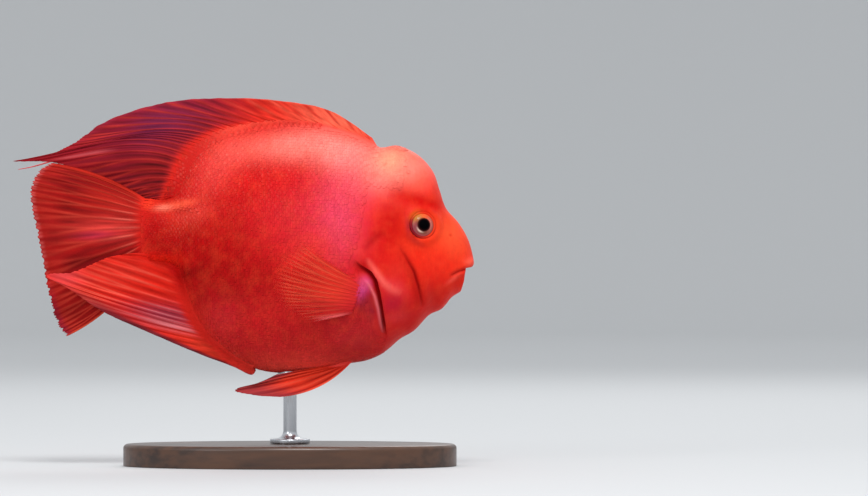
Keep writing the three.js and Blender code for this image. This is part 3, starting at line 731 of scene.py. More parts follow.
# Scales: columns of small overlapping plates, staggered, each lying on the skin and lifted at its rear
SCALE_STEP = 1.0  # from column to column
SCALE_PITCH = 3.3  # up and down between two scales of a column
SCALE_BORDER = 0.8  # how far the coat stays from the middle lines of back and belly
SCALE_LENGTH, SCALE_WIDTH = 3.0, 3.7
SCALE_FRONT, SCALE_REAR = -0.12, 0.05  # height of a scale's two ends over the skin
SCALE_BEND = 0.07  # how much lower its upper and lower border are
SCALE_SINK = 0.18  # how deep a scale lies where the coat ends
SCALE_THICK = 0.03
SCALE_WOBBLE = (0.08, 0.05, 0.02, 0.16, 0.16)  # spread of skew, length, lift, place rearward and upward
SCALE_PATCH = 0.003  # its own share of the unwrapped skin
SCALES_FROM, SCALES_TO = 61.0, -66.5
SCALE_PIECES = 5
SHEATH_STEP, SHEATH_ROWS, SHEATH_SIZE = 1.5, 5, 0.8  # the small scales on the root of the dorsal fin
# Where a painted highlight lies on the scales' rear edges
SCALE_PAINTED_HIGHLIGHT = [
    (1, (-2, 43), (36, 10), 4), (1, (-37, 34), (20, 9), 55),  # upper back
    (0.9, (33, 36), (18, 14), -10),  # rear of the hump
    (0.4, (-14, 22), (26, 12)), (0.3, (22, 6), (22, 26)),  # flank
    (0.6, (-50, 10), (14, 10)),  # tail stock
]


def grid_normals(points):
    round_it = np.gradient(points, axis=1)
    round_it[:, 0] = round_it[:, -1] = points[:, 1] - points[:, -2]
    return unit(np.cross(round_it, -np.gradient(points, axis=0)))


def scale_size(x):
    """How large the scales are at one x, against those of the flank."""
    return 1 - 0.3 * ease((x - 26) / 22) - 0.25 * ease((-30 - x) / 26)


def coat_strength(x, z):
    """How strongly the scales show, 0 to 1: none on the face or behind the free gill cover, few at the neck."""
    behind = line_x(GILL_EDGE, z) - x
    on_head = ease((z - 22 + 0.4 * (x - 40)) / 14) * ease((60 - x) / 22)
    bare = ease((z + 40) / 4) * ease((-4 - z) / 4) * ease((8.5 - behind) / 2.5)
    at_gill = np.where(np.abs(behind) < 1.2, ease((z + 4) / 6), 1)
    at_neck = np.where(behind > 0, 0.5 + 0.5 * ease(behind / 9), 1)
    return np.where(behind < 0, on_head, 1 - bare) * at_gill * at_neck * ease((x + 68) / 5)


def scale_roots(points):
    """Where the scales sit, each row its point, outward direction, place on the unwrapped skin and size.

    Returns the rows with each scale's strength, 0 to 1.
    """
    rings = [r for r in range(len(points)) if not HEAD_RINGS <= r < HEAD_RINGS + len(SLOT_RINGS)][::-1]
    normal = grid_normals(points)
    last = len(points) - 1
    half = np.arange(SKIN_SIDES // 2 + 1)
    found = []
    x, column = SCALES_FROM, 0
    while x > SCALES_TO:
        size = scale_size(x)
        pitch = SCALE_PITCH * size
        for ks in (half, SKIN_SIDES - half):
            ring = np.array([np.interp(x, points[rings, k, 0], rings) for k in ks])
            low = ring.astype(int)
            high = np.minimum(low + 1, last)
            t = (ring - low)[:, None]
            curve = points[low, ks] * (1 - t) + points[high, ks] * t
            normals = normal[low, ks] * (1 - t) + normal[high, ks] * t
            lay = np.stack([ring / last, ks / SKIN_SIDES], -1)
            rows = np.concatenate([curve, normals, lay, np.full((len(ks), 1), size)], -1)
            arc = arc_length(curve)
            start = arc[len(ks) // 2] % pitch + (column % 2) * pitch / 2
            at = np.arange(start - pitch, arc[-1] - SCALE_BORDER, pitch)
            at = at[at > SCALE_BORDER]
            found.append(np.stack([np.interp(at, arc, values) for values in rows.T], -1))
        x -= SCALE_STEP * size
        column += 1
    found = np.concatenate(found)
    sheath, sheath_strength = sheath_roots(points)
    strength = np.concatenate([coat_strength(found[:, 0], found[:, 2] - BODY_HEIGHT), sheath_strength])
    found = np.concatenate([found, sheath])
    kept = strength > rng.uniform(0.2, 0.36, len(strength))
    return found[kept], strength[kept]


def sheath_roots(points):
    """The same for the rows of scales that climb the root of the dorsal fin on both its faces."""
    a = np.linspace(0.01, 0.99, 600)
    arc = arc_length(fin_point(DORSAL, 1, a))
    last = len(points) - 1
    step = 0.3
    found, strength = [], []
    for column, along_base in enumerate(np.arange(0, arc[-1], SHEATH_STEP)):
        across = np.full(SHEATH_ROWS, np.interp(along_base, arc, a))
        away = (np.arange(SHEATH_ROWS) + (column % 2) / 2) * SHEATH_STEP - FOOT_DEPTH
        foot = fin_point(DORSAL, 1, across)
        length = np.linalg.norm(fin_point(DORSAL, 1, across, 1.0) - foot, axis=1)
        out = np.minimum(away / length, 0.5)
        middle = fin_point(DORSAL, 1, across, out)
        run = unit(fin_point(DORSAL, 1, across, out + 0.02) - middle)
        half = fin_half(DORSAL, across, out, away, 0.3)
        slope = (half - fin_half(DORSAL, across, out, away + step, 0.3)) / step
        ring = np.interp(foot[:, 0], points[::-1, 0, 0], np.arange(last, -1, -1)) / last
        for side in (1, -1):
            at = middle + np.outer(half, (0, side, 0)) + (0, 0, BODY_HEIGHT)
            normal = run * slope[:, None] + (0, side, 0)
            lay = np.stack([ring, np.full(SHEATH_ROWS, side * 2 / SKIN_SIDES % 1)], -1)
            found.append(np.concatenate([at, normal, lay, np.full((SHEATH_ROWS, 1), SHEATH_SIZE)], -1))
            strength.append(0.85 * (1 - ease((away - 0.5) / 5)) * ease((20 - foot[:, 0]) / 16))
    return np.concatenate(found), np.concatenate(strength)


def scale_template():
    """One scale as a disc with a rim and an underside: u runs from its front, -1, to its rear, 1."""
    bm = flat_sheet(4, 4, -1)
    bmesh.ops.recalc_face_normals(bm, faces=bm.faces)
    for v in bm.verts:
        a, b = (c * (1.85 - 0.85 * c * c) for c in v.co.xy)
        v.co.x, v.co.y = a * math.sqrt(1 - 0.3 * b * b), b * math.sqrt(1 - 0.4 * a * a)
    return to_mesh("scale", bm)


def many_scales(name, count):
    """A mesh of so many scales, all in one place."""
    holder = add_object("scale template", scale_template())
    modifier = holder.modifiers.new("many", "ARRAY")
    modifier.count = count
    modifier.use_relative_offset = False
    mesh = bpy.data.meshes.new_from_object(holder.evaluated_get(bpy.context.evaluated_depsgraph_get()))
    mesh.name = name
    bpy.data.objects.remove(holder)
    return mesh


def make_scales(points, material):
    roots, strength = scale_roots(points)
    order = np.argsort(roots[:, 0])[::-1]
    for part, chosen in enumerate(np.array_split(order, SCALE_PIECES)):
        count = len(chosen)
        mesh = many_scales(f"scales_{part + 1}", count)
        u, v, low = np.moveaxis(points_of(mesh).reshape(count, -1, 3), -1, 0)
        root, out, lay, size = np.split(roots[chosen], [3, 6, 8], axis=1)
        force = strength[chosen, None]
        size = size * (0.8 + 0.2 * force)
        out = unit(out)
        back = unit(out * out[:, 0:1] - (1, 0, 0))
        across = np.cross(out, back)
        wobble = rng.normal(0, 1, (count, 1, 5)) * SCALE_WOBBLE
        skew, stretch, lift, rearward, upward = np.moveaxis(wobble, -1, 0)
        tip = (u + 1) / 2
        lengthwise = SCALE_LENGTH / 2 * size * (1 + stretch) * (u * (1 - 0.1 * v * v) + 0.35) + rearward
        crosswise = SCALE_WIDTH / 2 * size * v + skew * u + upward
        rise = SCALE_FRONT + (SCALE_REAR - SCALE_FRONT) * tip**0.8 - SCALE_BEND * v * v + 0.5 * lift * tip
        thick = SCALE_THICK * (1 - 0.5 * tip) * (0.4 + 0.6 * force)
        rise = rise * size * force - SCALE_SINK * (1 - force) + low * thick
        moves = ((back, lengthwise), (across, crosswise), (out, rise))
        place = root[:, None] + sum(way[:, None] * far[..., None] for way, far in moves)
        mesh.vertices.foreach_set("co", place.ravel())
        uv = np.stack([tip - 0.5, v / 2], -1) * SCALE_PATCH + lay[:, None]
        unwrap(mesh, uv.reshape(-1, 2)[corners_of(mesh)])
        x, z = place[..., 0], place[..., 2] - BODY_HEIGHT
        tone = zone_colours(x, z) * (1 + rng.normal(0, 0.05, (count, 1, 1)))
        # A painted highlight on the rear edges of the scales, strongest on the upper back and the rear of the
        # hump
        painted_highlight = np.clip(rng.normal(0.75, 0.35, (count, 1)), 0, 1.4) * force * ease(u + 0.5) * bell(v, 0.5)
        store(mesh, "tone", tone.reshape(-1, 4))
        store(mesh, "painted_highlight", (painted_highlight * np.clip(ovals(x, z, SCALE_PAINTED_HIGHLIGHT), 0.05, 1)).ravel())
        store(mesh, "shade", (force * ease((0.45 - u) / 0.9)).ravel())
        new_piece(mesh.name, mesh, material)


def scale_paint():
    paint = Paint("fish scales")
    tone, fine, _ = flesh(paint)
    tone = paint.mix(paint.number("shade") * 0.16, tone, paint.times(tone, 0.6))
    # Painted highlight on the scales' rear edges, in a pale salmon
    shine = paint.number("painted_highlight") * (0.22 + fine * 0.36)
    tone = paint.mix(shine, tone, srgb(255, 146, 128))
    return paint.surface(
        Base_Color=tone,
        Roughness=0.4 + fine * 0.16,
        Specular_IOR_Level=0.05,
    )


# Fins. Each key row is a ray: base x and z, tip x and z, bow and, for the paired fins, base y and tip y
DORSAL_KEYS = [
    [39.8, 44.0, 36.9, 48.8, 0], [29.8, 49.8, 18.0, 61.0, 1], [15.0, 53.9, -4.5, 65.5, 1],
    [-1.0, 54.9, -29.2, 66.8, 1], [-15.8, 53.4, -56.2, 64.9, 0], [-27.0, 50.6, -82.3, 57.3, -3],
    [-33.6, 48.0, -98.4, 46.8, -4], [-37.8, 45.3, -111.0, 40.9, -5.5], [-41.4, 42.3, -126.0, 38.2, -6.5],
    [-45.9, 36.0, -106.5, 37.4, -5], [-48.6, 29.7, -84.0, 28.8, -3], [-51.2, 24.6, -71.0, 22.6, -1],
    [-53.0, 21.6, -62.5, 19.8, 0],
]
ANAL_KEYS = [
    [-15.6, -55.1, -15.4, -56.2, 0], [-18.0, -54.5, -17.9, -58.0, 0], [-21.8, -52.6, -26.0, -54.2, 0],
    [-27.3, -49.0, -42.0, -48.2, 0], [-32.0, -45.6, -63.0, -39.2, 0], [-36.1, -41.7, -84.0, -29.6, 0.4],
    [-39.3, -37.8, -99.5, -19.2, 0.8], [-42.0, -34.0, -110.2, -13.0, 1], [-44.6, -28.8, -98.5, -11.7, 0.6],
    [-46.8, -22.4, -89.0, -7.9, 0], [-49.0, -15.6, -81.5, -4.9, -1], [-51.8, -8.6, -74.5, -3.7, -2.5],
]
CAUDAL_KEYS = [
    [-65.5, 21.6, -108.0, 37.6, -2.6], [-66.5, 19.0, -114.2, 33.2, -1.6], [-67.0, 14.0, -117.7, 22.5, 0],
    [-67.0, 7.0, -113.9, 2.7, 0], [-67.0, 0.0, -109.6, -19.8, 1], [-66.5, -5.0, -105.8, -34.2, 2.5],
    [-65.5, -7.4, -101.0, -40.9, 4],
]
PECTORAL_KEYS = [
    [33.0, -15.8, 6.3, 2.5, 1, 24.6, 28.6], [32.2, -19.4, -3.1, -5.0, 1, 24.6, 30.2],
    [31.0, -23.0, -7.2, -16.2, 0.5, 24.2, 31.0], [29.6, -26.6, -2.7, -27.0, 0, 23.6, 30.2],
    [28.4, -30.2, 9.9, -34.2, 0, 22.6, 28.0],
]
PELVIC_KEYS = [
    [27.9, -52.0, -4.5, -67.6, 3.7, 5.0, 13.5], [26.0, -52.8, -15.6, -66.9, 2.6, 5.2, 13.0],
    [24.2, -53.4, -24.8, -64.7, 1.0, 5.4, 12.5], [22.4, -54.0, -15.0, -61.9, -0.6, 5.8, 12.0],
    [20.7, -53.4, -6.0, -57.8, -0.4, 6.6, 11.0],
]
# What a fin has unless it says otherwise
FIN = {
    "ray": 0.6,  # half thickness of a ray at its root
    "web": 0.28,  # half thickness between the rays
    "flare": None,  # how much more that is at the foot; worked out where a fin widens into the body
    "flare_reach": 7,  # over how many mm out the foot ends
    "bare": 1.0,  # how far out the fin has the body's colour
    "blend": 6,  # over how many mm that fades
    "root": (-5, 0),  # towards where the fin is rooted
    "sink": 4,  # how deep
    "inward": 0,  # how deep, for a fin that is rooted straight into the flank
    "flex": 0,  # how far it leans at the tail
    "skew": 0,  # how much of a ray's bow lies in its inner part
    "spines": 0,  # share of rays that don't split, from the first
    "notch": 0.02,  # how far the web stops short of the ray tips
    "streak": 0.2,  # strength of the streaks
}
DORSAL = FIN | {"keys": DORSAL_KEYS, "rays": 28, "bare": 1.5, "blend": 5, "sink": 5, "flex": 9, "skew": 0.7}
DORSAL |= {"spines": 0.42, "notch": 0.025, "streak": 0.25}
ANAL = FIN | {"keys": ANAL_KEYS, "rays": 17, "sink": 5, "flex": -9, "spines": 0.22}
CAUDAL = FIN | {"keys": CAUDAL_KEYS, "rays": 16, "ray": 0.62, "web": 0.3, "flare_reach": 12, "bare": -1.0}
CAUDAL |= {"root": (-40, 7), "notch": 0.035, "streak": 0.25}
PECTORAL = FIN | {"keys": PECTORAL_KEYS, "rays": 13, "ray": 0.36, "web": 0.2, "flare": 0.5}
PECTORAL |= {"flare_reach": 8, "bare": -1, "blend": 2, "inward": 3, "streak": 0.12}
PELVIC = FIN | {"keys": PELVIC_KEYS, "rays": 6, "flare": 1.0, "bare": 0.5, "blend": 4}
PELVIC |= {"root": (10, 0), "spines": 0.15}
FLEX_START, FLEX_END = -44.0, -104.0
FOOT_DEPTH = 1.3  # how deep in the body a fin has the body's own width
FOOT_PLACES = np.linspace(0, 1, 161)  # places along a fin's base where its foot is worked out
FIN_COLUMNS = 20  # columns of faces to a ray
FIN_ROWS, ROOT_ROWS = 60, 4


def fin_point(fin, side, across, out=0.0):
    """A point of a fin's middle sheet: where across its rays, and how far out along them, from its base."""
    keys = np.array([(*row, 0, 0)[:7] for row in fin["keys"]], dtype=float)
    bx, bz, tx, tz, bow, by, ty = np.moveaxis(along(keys, across * (len(keys) - 1)), -1, 0)
    length = np.hypot(tx - bx, tz - bz)
    lift = 4 * out * (1 - out) * bow * (1 + fin["skew"] * (1 - 2 * out))
    x = bx + (tx - bx) * out - (tz - bz) / length * lift
    z = bz + (tz - bz) * out + (tx - bx) / length * lift
    y = by + (ty - by) * out + fin["flex"] * ease((FLEX_START - x) / (FLEX_START - FLEX_END))
    return np.stack([x, side * y + swing(x), z], -1)


def fin_root(fin, side, across):
    """The same under the skin, where the fin is rooted."""
    point = fin_point(fin, side, across)
    if fin["inward"]:
        return point - (0, side * fin["inward"], 0)
    point[..., ::2] += unit(fin["root"] - point[..., ::2]) * fin["sink"]
    return point


def from_ray(fin, across):
    """How far a place lies from the nearest ray, 0 to 0.5, and whether rays split there, 0 to 1."""
    phase = across * (fin["rays"] - 1)
    return np.abs(phase - np.rint(phase)), ease((across - fin["spines"]) / 0.08) if fin["spines"] else 1.0


def ray_ridges(fin, across, out):
    """1 on the crest of a ray and 0 on the web; soft rays split in two and then in four."""
    off, soft = from_ray(fin, across)
    off = np.abs(off - 0.23 * soft * ease((out - 0.4) / 0.5))
    off = np.abs(off - 0.1 * soft * ease((out - 0.7) / 0.3))
    return bell(off, 0.13 - 0.05 * np.clip(out, 0, 1) * soft)


def gap_lines(fin, across, out):
    """1 midway between two rays, and fainter between the branches of one."""
    off, soft = from_ray(fin, across)
    return np.maximum(bell(0.5 - off, 0.15), 0.5 * soft * bell(off, 0.07) * ease((out - 0.45) / 0.3))


def streaks(fin, across, out, to_a_ray=6, lengths=6):
    """Streaks that run out along the rays, each value between -1 and 1."""
    table = rng.uniform(-1, 1, ((fin["rays"] - 1) * to_a_ray + 2, lengths + 2))
    c, r = across * (len(table) - 2), out * lengths
    i, k = np.floor(c).astype(int), np.floor(r).astype(int)
    u, v = c - i, ease(r - k)
    near = table[i, k] * (1 - u) + table[i + 1, k] * u
    far = table[i, k + 1] * (1 - u) + table[i + 1, k + 1] * u
    return near * (1 - v) + far * v


def body_half(x, z):
    """Half the body's width at places in the side view."""
    t = np.linspace(0, 1, 401)
    turn = np.pi * (t - np.sin(2 * np.pi * t) / (2 * np.pi))
    place, angle = np.meshgrid(np.arange(8, LAST_PLACE + 0.001, 0.1), turn, indexing="ij")
    point = body(place, angle).reshape(-1, 3)
    nearest = [np.argmin((point[:, 0] - a) ** 2 + (point[:, 2] - b) ** 2) for a, b in zip(x, z)]
    return point[nearest, 1]


def widen(fin):
    """Finds how much wider than its web a fin is at its foot, all along its base."""
    foot = fin_point(fin, 1, FOOT_PLACES)
    deep = foot + (fin_root(fin, 1, FOOT_PLACES) - foot) * FOOT_DEPTH / fin["sink"]
    found = np.pad(body_half(deep[:, 0], deep[:, 2]) - fin["web"], 5, mode="edge")
    fin["flare"] = np.maximum(np.convolve(found, np.ones(11) / 11, mode="valid"), 0.3)


def fin_half(fin, across, out, away, ridge):
    """Half the fin's thickness, away mm from the body."""
    if np.ndim(fin["flare"]):
        near = np.clip(1 - (away + FOOT_DEPTH) / fin["flare_reach"], 0, 1)
        flare = np.interp(across, FOOT_PLACES, fin["flare"]) * near**3
    else:
        flare = fin["flare"] * (1 - ease(away / fin["flare_reach"]))
    ridge = ridge * (0.15 + 0.85 * ease(away / fin["flare_reach"]))
    half = fin["web"] * (1 - 0.2 * out) + np.maximum(0, fin["ray"] * (1 - 0.65 * out) - fin["web"]) * ridge
    return half * (1 - 0.6 * ease((out - 0.94) / 0.06)) + flare


def make_fin(name, fin, side, tones, material):
    columns = (fin["rays"] - 1) * FIN_COLUMNS
    a, r = np.meshgrid(np.arange(columns + 1) / columns, np.arange(FIN_ROWS + 1), indexing="ij")
    t = (r - ROOT_ROWS) / (FIN_ROWS - ROOT_ROWS)
    ragged = streaks(fin, a, np.zeros(a.shape), 5, 0)
    reach = 1 - fin["notch"] * (0.75 - 0.5 * ray_ridges(fin, a, np.ones(a.shape)) + 0.25 * ragged)
    out = np.clip(t, 0, 1) * reach
    ridge = ray_ridges(fin, a, out)
    sunk = np.clip(1 - r / ROOT_ROWS, 0, 1)[..., None] ** 2
    base = fin_point(fin, side, a)
    middle = fin_point(fin, side, a, out) * (1 - sunk) + fin_root(fin, side, a) * sunk
    away = np.linalg.norm(middle - base, axis=-1) * np.where(out > 0, 1, -1)
    ends = np.minimum(a, 1 - a) * arc_length(base[:, 0])[-1]
    half = fin_half(fin, a, out, away, ridge) * (0.35 + 0.65 * ease(ends / 2.5))
    ripple = 0.2 * np.sin(a * (fin["rays"] - 1) * 2 * np.pi) * ease(away / 12)

    def points(i, k, face):
        place = middle[i, k].copy()
        place[:, 1] += ripple[i, k] + np.where(face == 1, 1, -1) * half[i, k]
        place[:, 2] += BODY_HEIGHT
        return place

    fine = streaks(fin, a, out)
    gap = np.clip(gap_lines(fin, a, out) * (1 + 0.7 * streaks(fin, a, out, 1, 4)), 0, 1)
    crest = np.clip(ridge * (1 + 0.5 * streaks(fin, a, out, 2, 4)), 0, 1)
    x, z = middle[..., 0], middle[..., 2]
    tone = tones(a, out, away, gap, crest, x, z) * (1 + fin["streak"] * fine[..., None])
    near = (1 - ease((away - fin["bare"] - 2 * fine) / fin["blend"]))[..., None]
    tone = tone * (1 - near) + zone_colours(x, z) * near
    keep = {"tone": tone, "thin": thinness(a, out, gap, crest), "fine": fine}
    mesh = grid_mesh(name, columns, FIN_ROWS, points, keep, thick=True)
    new_piece("shown_" + name, mesh, material, [name])


def thinness(a, out, gap, crest):
    """How much the pectoral fin lets through: all at its margin, and more between its rays."""
    thin = 0.16 + 0.82 * ease((out - 0.25) / 0.75) + 0.12 * gap
    thin = thin - 0.3 * crest * (1 - ease((out - 0.7) / 0.3))
    return np.clip(np.maximum(thin, 1 - ease(a / 0.1)), 0, 0.98)


# Each fin's colours, from: the place across its rays, how far out, mm from the body, 1 on the dark lines
# between the rays, 1 on the crests of the rays, and the place in the side view
def dorsal_tones(a, out, away, gap, crest, x, z):
    rear = ease((-8 - x) / 34)
    clear = ease((away - 4) / 6)
    low = ease((46 - z) / 12) * ease((-50 - x) / 6)
    tip = ease((-84 - x) / 18)
    violet = oval(x, z, (-62, 54), (22, 8), 14)
    pale = bell(a - 0.725, 0.009) * ease((out - 0.45) / 0.2) * (1 - ease((out - 0.8) / 0.15))
    return blend(
        (214, 40, 28),
        ((252, 112, 84), 0.85 * oval(x, z, (22, 56), (20, 9), -14)),
        ((172, 14, 12), 0.7 * gap * (1 - rear) * ease((out - 0.25) / 0.4)),
        ((236, 92, 70), 0.5 * crest * (1 - rear) * ease((out - 0.3) / 0.3)),
        ((132, 25, 38), 0.84 * rear * clear),
        ((112, 34, 70), 0.88 * violet * clear),
        ((122, 18, 18), 0.65 * low * clear),
        ((88, 8, 18), 0.65 * rear * gap * clear),
        ((84, 22, 58), 0.5 * violet * gap * clear),
        ((44, 2, 5), 0.65 * low * gap * clear * (1 - 0.7 * tip)),
        ((196, 52, 44), 0.7 * rear * crest * clear * (1 - 0.4 * low)),
        ((128, 18, 32), 0.6 * (1 - crest) * ease((-62 - x) / 16) * clear),
        ((150, 22, 36), 0.75 * tip * (1 - 0.6 * gap)),
        ((236, 110, 112), 0.28 * pale),
        ((222, 90, 72), 0.4 * ease((out - 0.92) / 0.06) * (1 - rear)),
        ((150, 40, 60), 0.5 * ease((out - 0.9) / 0.08) * rear * (1 - tip)),
    )


def anal_tones(a, out, away, gap, crest, x, z):
    clear = ease((away - 2) / 5)
    return blend(
        (208, 34, 22),
        ((172, 16, 12), 0.45 * gap * clear),
        ((240, 106, 84), 0.65 * crest * clear * oval(x, z, (-78, -18), (28, 9), 12)),
        ((222, 52, 40), 0.5 * oval(x, z, (-77, -13), (14, 5.5), 20)),
        ((138, 50, 68), 0.8 * clear * oval(x, z, (-56, -31.0), (17, 4.6), -10)),
        ((196, 110, 116), 0.6 * clear * crest * oval(x, z, (-58, -31.0), (18, 5), -10)),
        ((214, 130, 136), 0.7 * clear * (1 - gap) * oval(x, z, (-52, -36.4), (12, 1.8), -14)),
        ((208, 56, 38), 0.7 * oval(x, z, (-38, -46), (16, 3.6), -24)),
        ((196, 24, 14), 0.85 * ease((a - 0.86) / 0.1) * (1 - 0.4 * out)),
        ((88, 30, 40), 0.88 * ease((out - 0.62) / 0.28) * ease((0.62 - a) / 0.2)),
        ((222, 74, 78), 0.6 * oval(x, z, (-102, -13.5), (9, 5), -10)),
    )


def caudal_tones(a, out, away, gap, crest, x, z):
    clear = ease((away - 1) / 6)
    from_top = a * (28 + 48 * out)
    return blend(
        (150, 16, 14),
        ((204, 66, 50), 0.8 * crest * (1 - 0.5 * out)),
        ((222, 112, 98), 0.7 * crest * oval(x, z, (-74, 9), (9, 9))),
        ((96, 4, 8), 0.7 * gap * clear * (0.35 + 0.65 * oval(x, z, (-94, 14), (18, 16)))),
        ((118, 10, 16), 0.55 * (oval(x, z, (-101, 29), (13, 5), -20) + oval(x, z, (-109, 4), (6, 6)))),
        ((206, 46, 34), 0.55 * (1 - 0.5 * gap) * oval(x, z, (-80, 20), (14, 4.5), -16)),
        ((196, 40, 34), 0.6 * oval(x, z, (-110, 36.5), (7, 3.5), -14)),
        ((220, 64, 56), 0.65 * (1 - 0.5 * gap) * oval(x, z, (-83, 8), (17, 5.5))),
        ((170, 36, 76), 0.35 * (1 - crest) * oval(x, z, (-88, 5), (9, 2.4))),
        ((86, 7, 14), 0.65 * (1 - 0.4 * crest) * oval(x, z, (-94, -7), (15, 4), 8)),
        ((162, 24, 20), 0.5 * ease((-98 - x) / 12) * (1 - 0.5 * gap)),
        ((182, 36, 22), 0.85 * (1 - ease((from_top - 2.0) / 3.2)) * (1 - 0.2 * gap)),
        ((214, 74, 46), 0.8 * ease((a - 0.965) / 0.02)),
        ((110, 14, 50), 0.45 * ease((a - 0.6) / 0.2) * ease((out - 0.9) / 0.07)),
        ((206, 96, 94), 0.6 * crest * ease((out - 0.93) / 0.04) * (1 - ease((a - 0.5) / 0.2))),
    )


def pectoral_tones(a, out, away, gap, crest, x, z):
    low = ease((a - 0.5) / 0.35)
    rayed = ease((out - 0.12) / 0.25)
    return blend(
        (226, 56, 42),
        ((190, 34, 38), 0.8 * low),
        ((200, 26, 16), 0.6 * gap * rayed),
        ((240, 92, 64), 0.65 * crest * rayed * (1 - 0.3 * low)),
        ((232, 100, 100), 0.7 * ease((a - 0.88) / 0.08) * (1 - ease((out - 0.6) / 0.4))),
        ((214, 38, 42), 0.8 * (1 - ease(out / 0.28))),
    )


def pelvic_tones(a, out, away, gap, crest, x, z):
    return blend(
        (216, 50, 30),
        ((142, 12, 12), 0.7 * gap * ease(away / 5)),
        ((224, 84, 60), 0.5 * crest),
        ((242, 104, 74), 0.6 * (1 - ease(a / 0.1))),
        ((222, 36, 26), 0.7 * (1 - ease(away / 9))),
        ((126, 44, 54), 0.75 * ease((out - 0.5) / 0.4)),
    )


def fin_paint(name, clear=0.0):
    """The fins' paint; where clear is 1, light passes through as far as the fin is thin."""
    paint = Paint(name)
    fine = paint.noise(0.7, 3.0)
    broad = paint.noise(7, 2.0)
    tone = paint.times(paint.colour("tone"), 0.84 + fine * 0.16 + broad * 0.2)
    grain = paint.bump(paint.number("fine") + fine, 0.06)
    return paint.surface(
        Base_Color=tone,
        Roughness=0.46 + fine * 0.15,
        Normal=grain,
        Alpha=1 - paint.number("thin") * clear,
        Specular_IOR_Level=0.04,
    )


FILAMENT = [[-103.0, 39.3], [-108.0, 38.4], [-113.0, 36.9], [-118.0, 35.6], [-123.5, 34.6]]
FILAMENT_RINGS, FILAMENT_SIDES = 32, 12
# Radius of the filament at some of its rings
FILAMENT_RADIUS = {0: 0, 1: 0.42, 20: 0.3, 31: 0.14, 32: 0}


def make_filament(material):
    """The thin thread beside the drawn-out tip of the dorsal fin."""
    ring = np.arange(FILAMENT_RINGS + 1)
    path = along(FILAMENT, ring / FILAMENT_RINGS * (len(FILAMENT) - 1))
    radius = np.interp(ring, list(FILAMENT_RADIUS), list(FILAMENT_RADIUS.values()))
    y = DORSAL["flex"] + swing(path[:, 0])
    turn = np.linspace(0, 2 * np.pi, FILAMENT_SIDES + 1)

    def points(i, k, side):
        around = np.stack([np.zeros(len(k)), 0.8 * np.cos(turn[k]), np.sin(turn[k])], -1) * radius[i, None]
        return np.stack([path[i, 0], y[i], path[i, 1] + BODY_HEIGHT], -1) + around

    none = np.zeros((len(ring), len(turn)))
    keep = {"tone": none[..., None] + srgb(204, 84, 88), "thin": none, "fine": none}
    mesh = grid_mesh("dorsal filament", FILAMENT_RINGS, FILAMENT_SIDES, points, keep)
    new_piece("dorsal_filament", mesh, material)


def make_fins():
    solid = fin_paint("fin skin")
    clear = fin_paint("pectoral fin skin", 1.0)
    make_fin("dorsal_fin", DORSAL, 1, dorsal_tones, solid)
    make_filament(solid)
    make_fin("anal_fin", ANAL, 1, anal_tones, solid)
    make_fin("caudal_fin", CAUDAL, 1, caudal_tones, solid)
    for name, side in SIDES:
        make_fin("pectoral_fin_" + name, PECTORAL, side, pectoral_tones, clear)
        make_fin("pelvic_fin_" + name, PELVIC, side, pelvic_tones, solid)


# Eyes
def flank_frame(x, z, side):
    """Where the flank lies at a place in the side view: point, forward, up and outward directions."""
    places, angles = np.arange(0.5, LAST_PLACE, 0.02), np.arange(0.1, np.pi - 0.1, 0.01)
    place, angle = np.meshgrid(places, angles, indexing="ij")
    point = body(place, angle)
    best = np.unravel_index(np.argmin(np.hypot(point[..., 0] - x, point[..., 2] - z)), place.shape)
    out = body_normal(place[best], angle[best])
    at = point[best] * (1, side, 1) + (0, 0, BODY_HEIGHT)
    out = out * (1, side, 1)
    up = unit((0, 0, 1) - out * out[2])
    forward = np.cross(up, out) * side
    forward *= np.sign(forward[0])
    return at, forward, up, out


def turned(name, profile, frame, sides=96, keep=()):
    """A turned shape: profile rows are [radius, height] along the frame's outward direction."""
    at, forward, up, out = frame
    profile = np.array(profile, dtype=float)
    turn = np.linspace(0, 2 * np.pi, sides + 1)

    def points(i, k, side):
        radius, height = profile[i, 0:1], profile[i, 1:2]
        c, s = np.cos(turn[k])[:, None], np.sin(turn[k])[:, None]
        return at + forward * radius * c + up * radius * s + out * height

    r, angle = np.meshgrid(profile[:, 0], turn, indexing="ij")
    kept = {title: function(r, angle) for title, function in dict(keep).items()}
    return grid_mesh(name, len(profile) - 1, sides, points, kept)


def iris_tones(r, angle):
    """The iris, by distance from the pupil's middle in mm and angle from forward towards up."""

    def towards(degrees, sharpness):
        return np.clip(np.cos(angle - math.radians(degrees)), 0, 1) ** sharpness

    return blend(
        (168, 80, 70),
        ((142, 60, 72), 0.8 * towards(192, 1)),
        ((232, 84, 34), 0.95 * towards(84, 2)),
        ((188, 118, 40), 0.9 * towards(130, 5)),
        ((118, 40, 52), 0.6 * towards(180, 1) * bell(r - 3.5, 0.5)),
        ((104, 66, 34), 0.7 * towards(268, 4) * bell(r - 3.7, 0.5)),
        ((206, 88, 92), 0.7 * towards(262, 3) * bell(r - 4.9, 0.35)),
        ((214, 120, 108), 0.7 * towards(0, 2) * bell(r - 3.6, 0.5)),
        # painted highlight: a reflection low at the rear of the iris
        ((252, 214, 192), 0.95 * towards(232, 8) * bell(r - 3.35, 0.36)),
        ((84, 10, 22), 0.85 * ease((r - 4.7) / 0.5) * (1 - towards(90, 1))),
        ((52, 8, 8), 0.9 * (1 - ease((r - 2.8) / 0.5))),
    )


def pupil_tones(r, angle):
    return blend((3, 2, 4), ((60, 20, 18), ease((r - 2.2) / 0.7)))


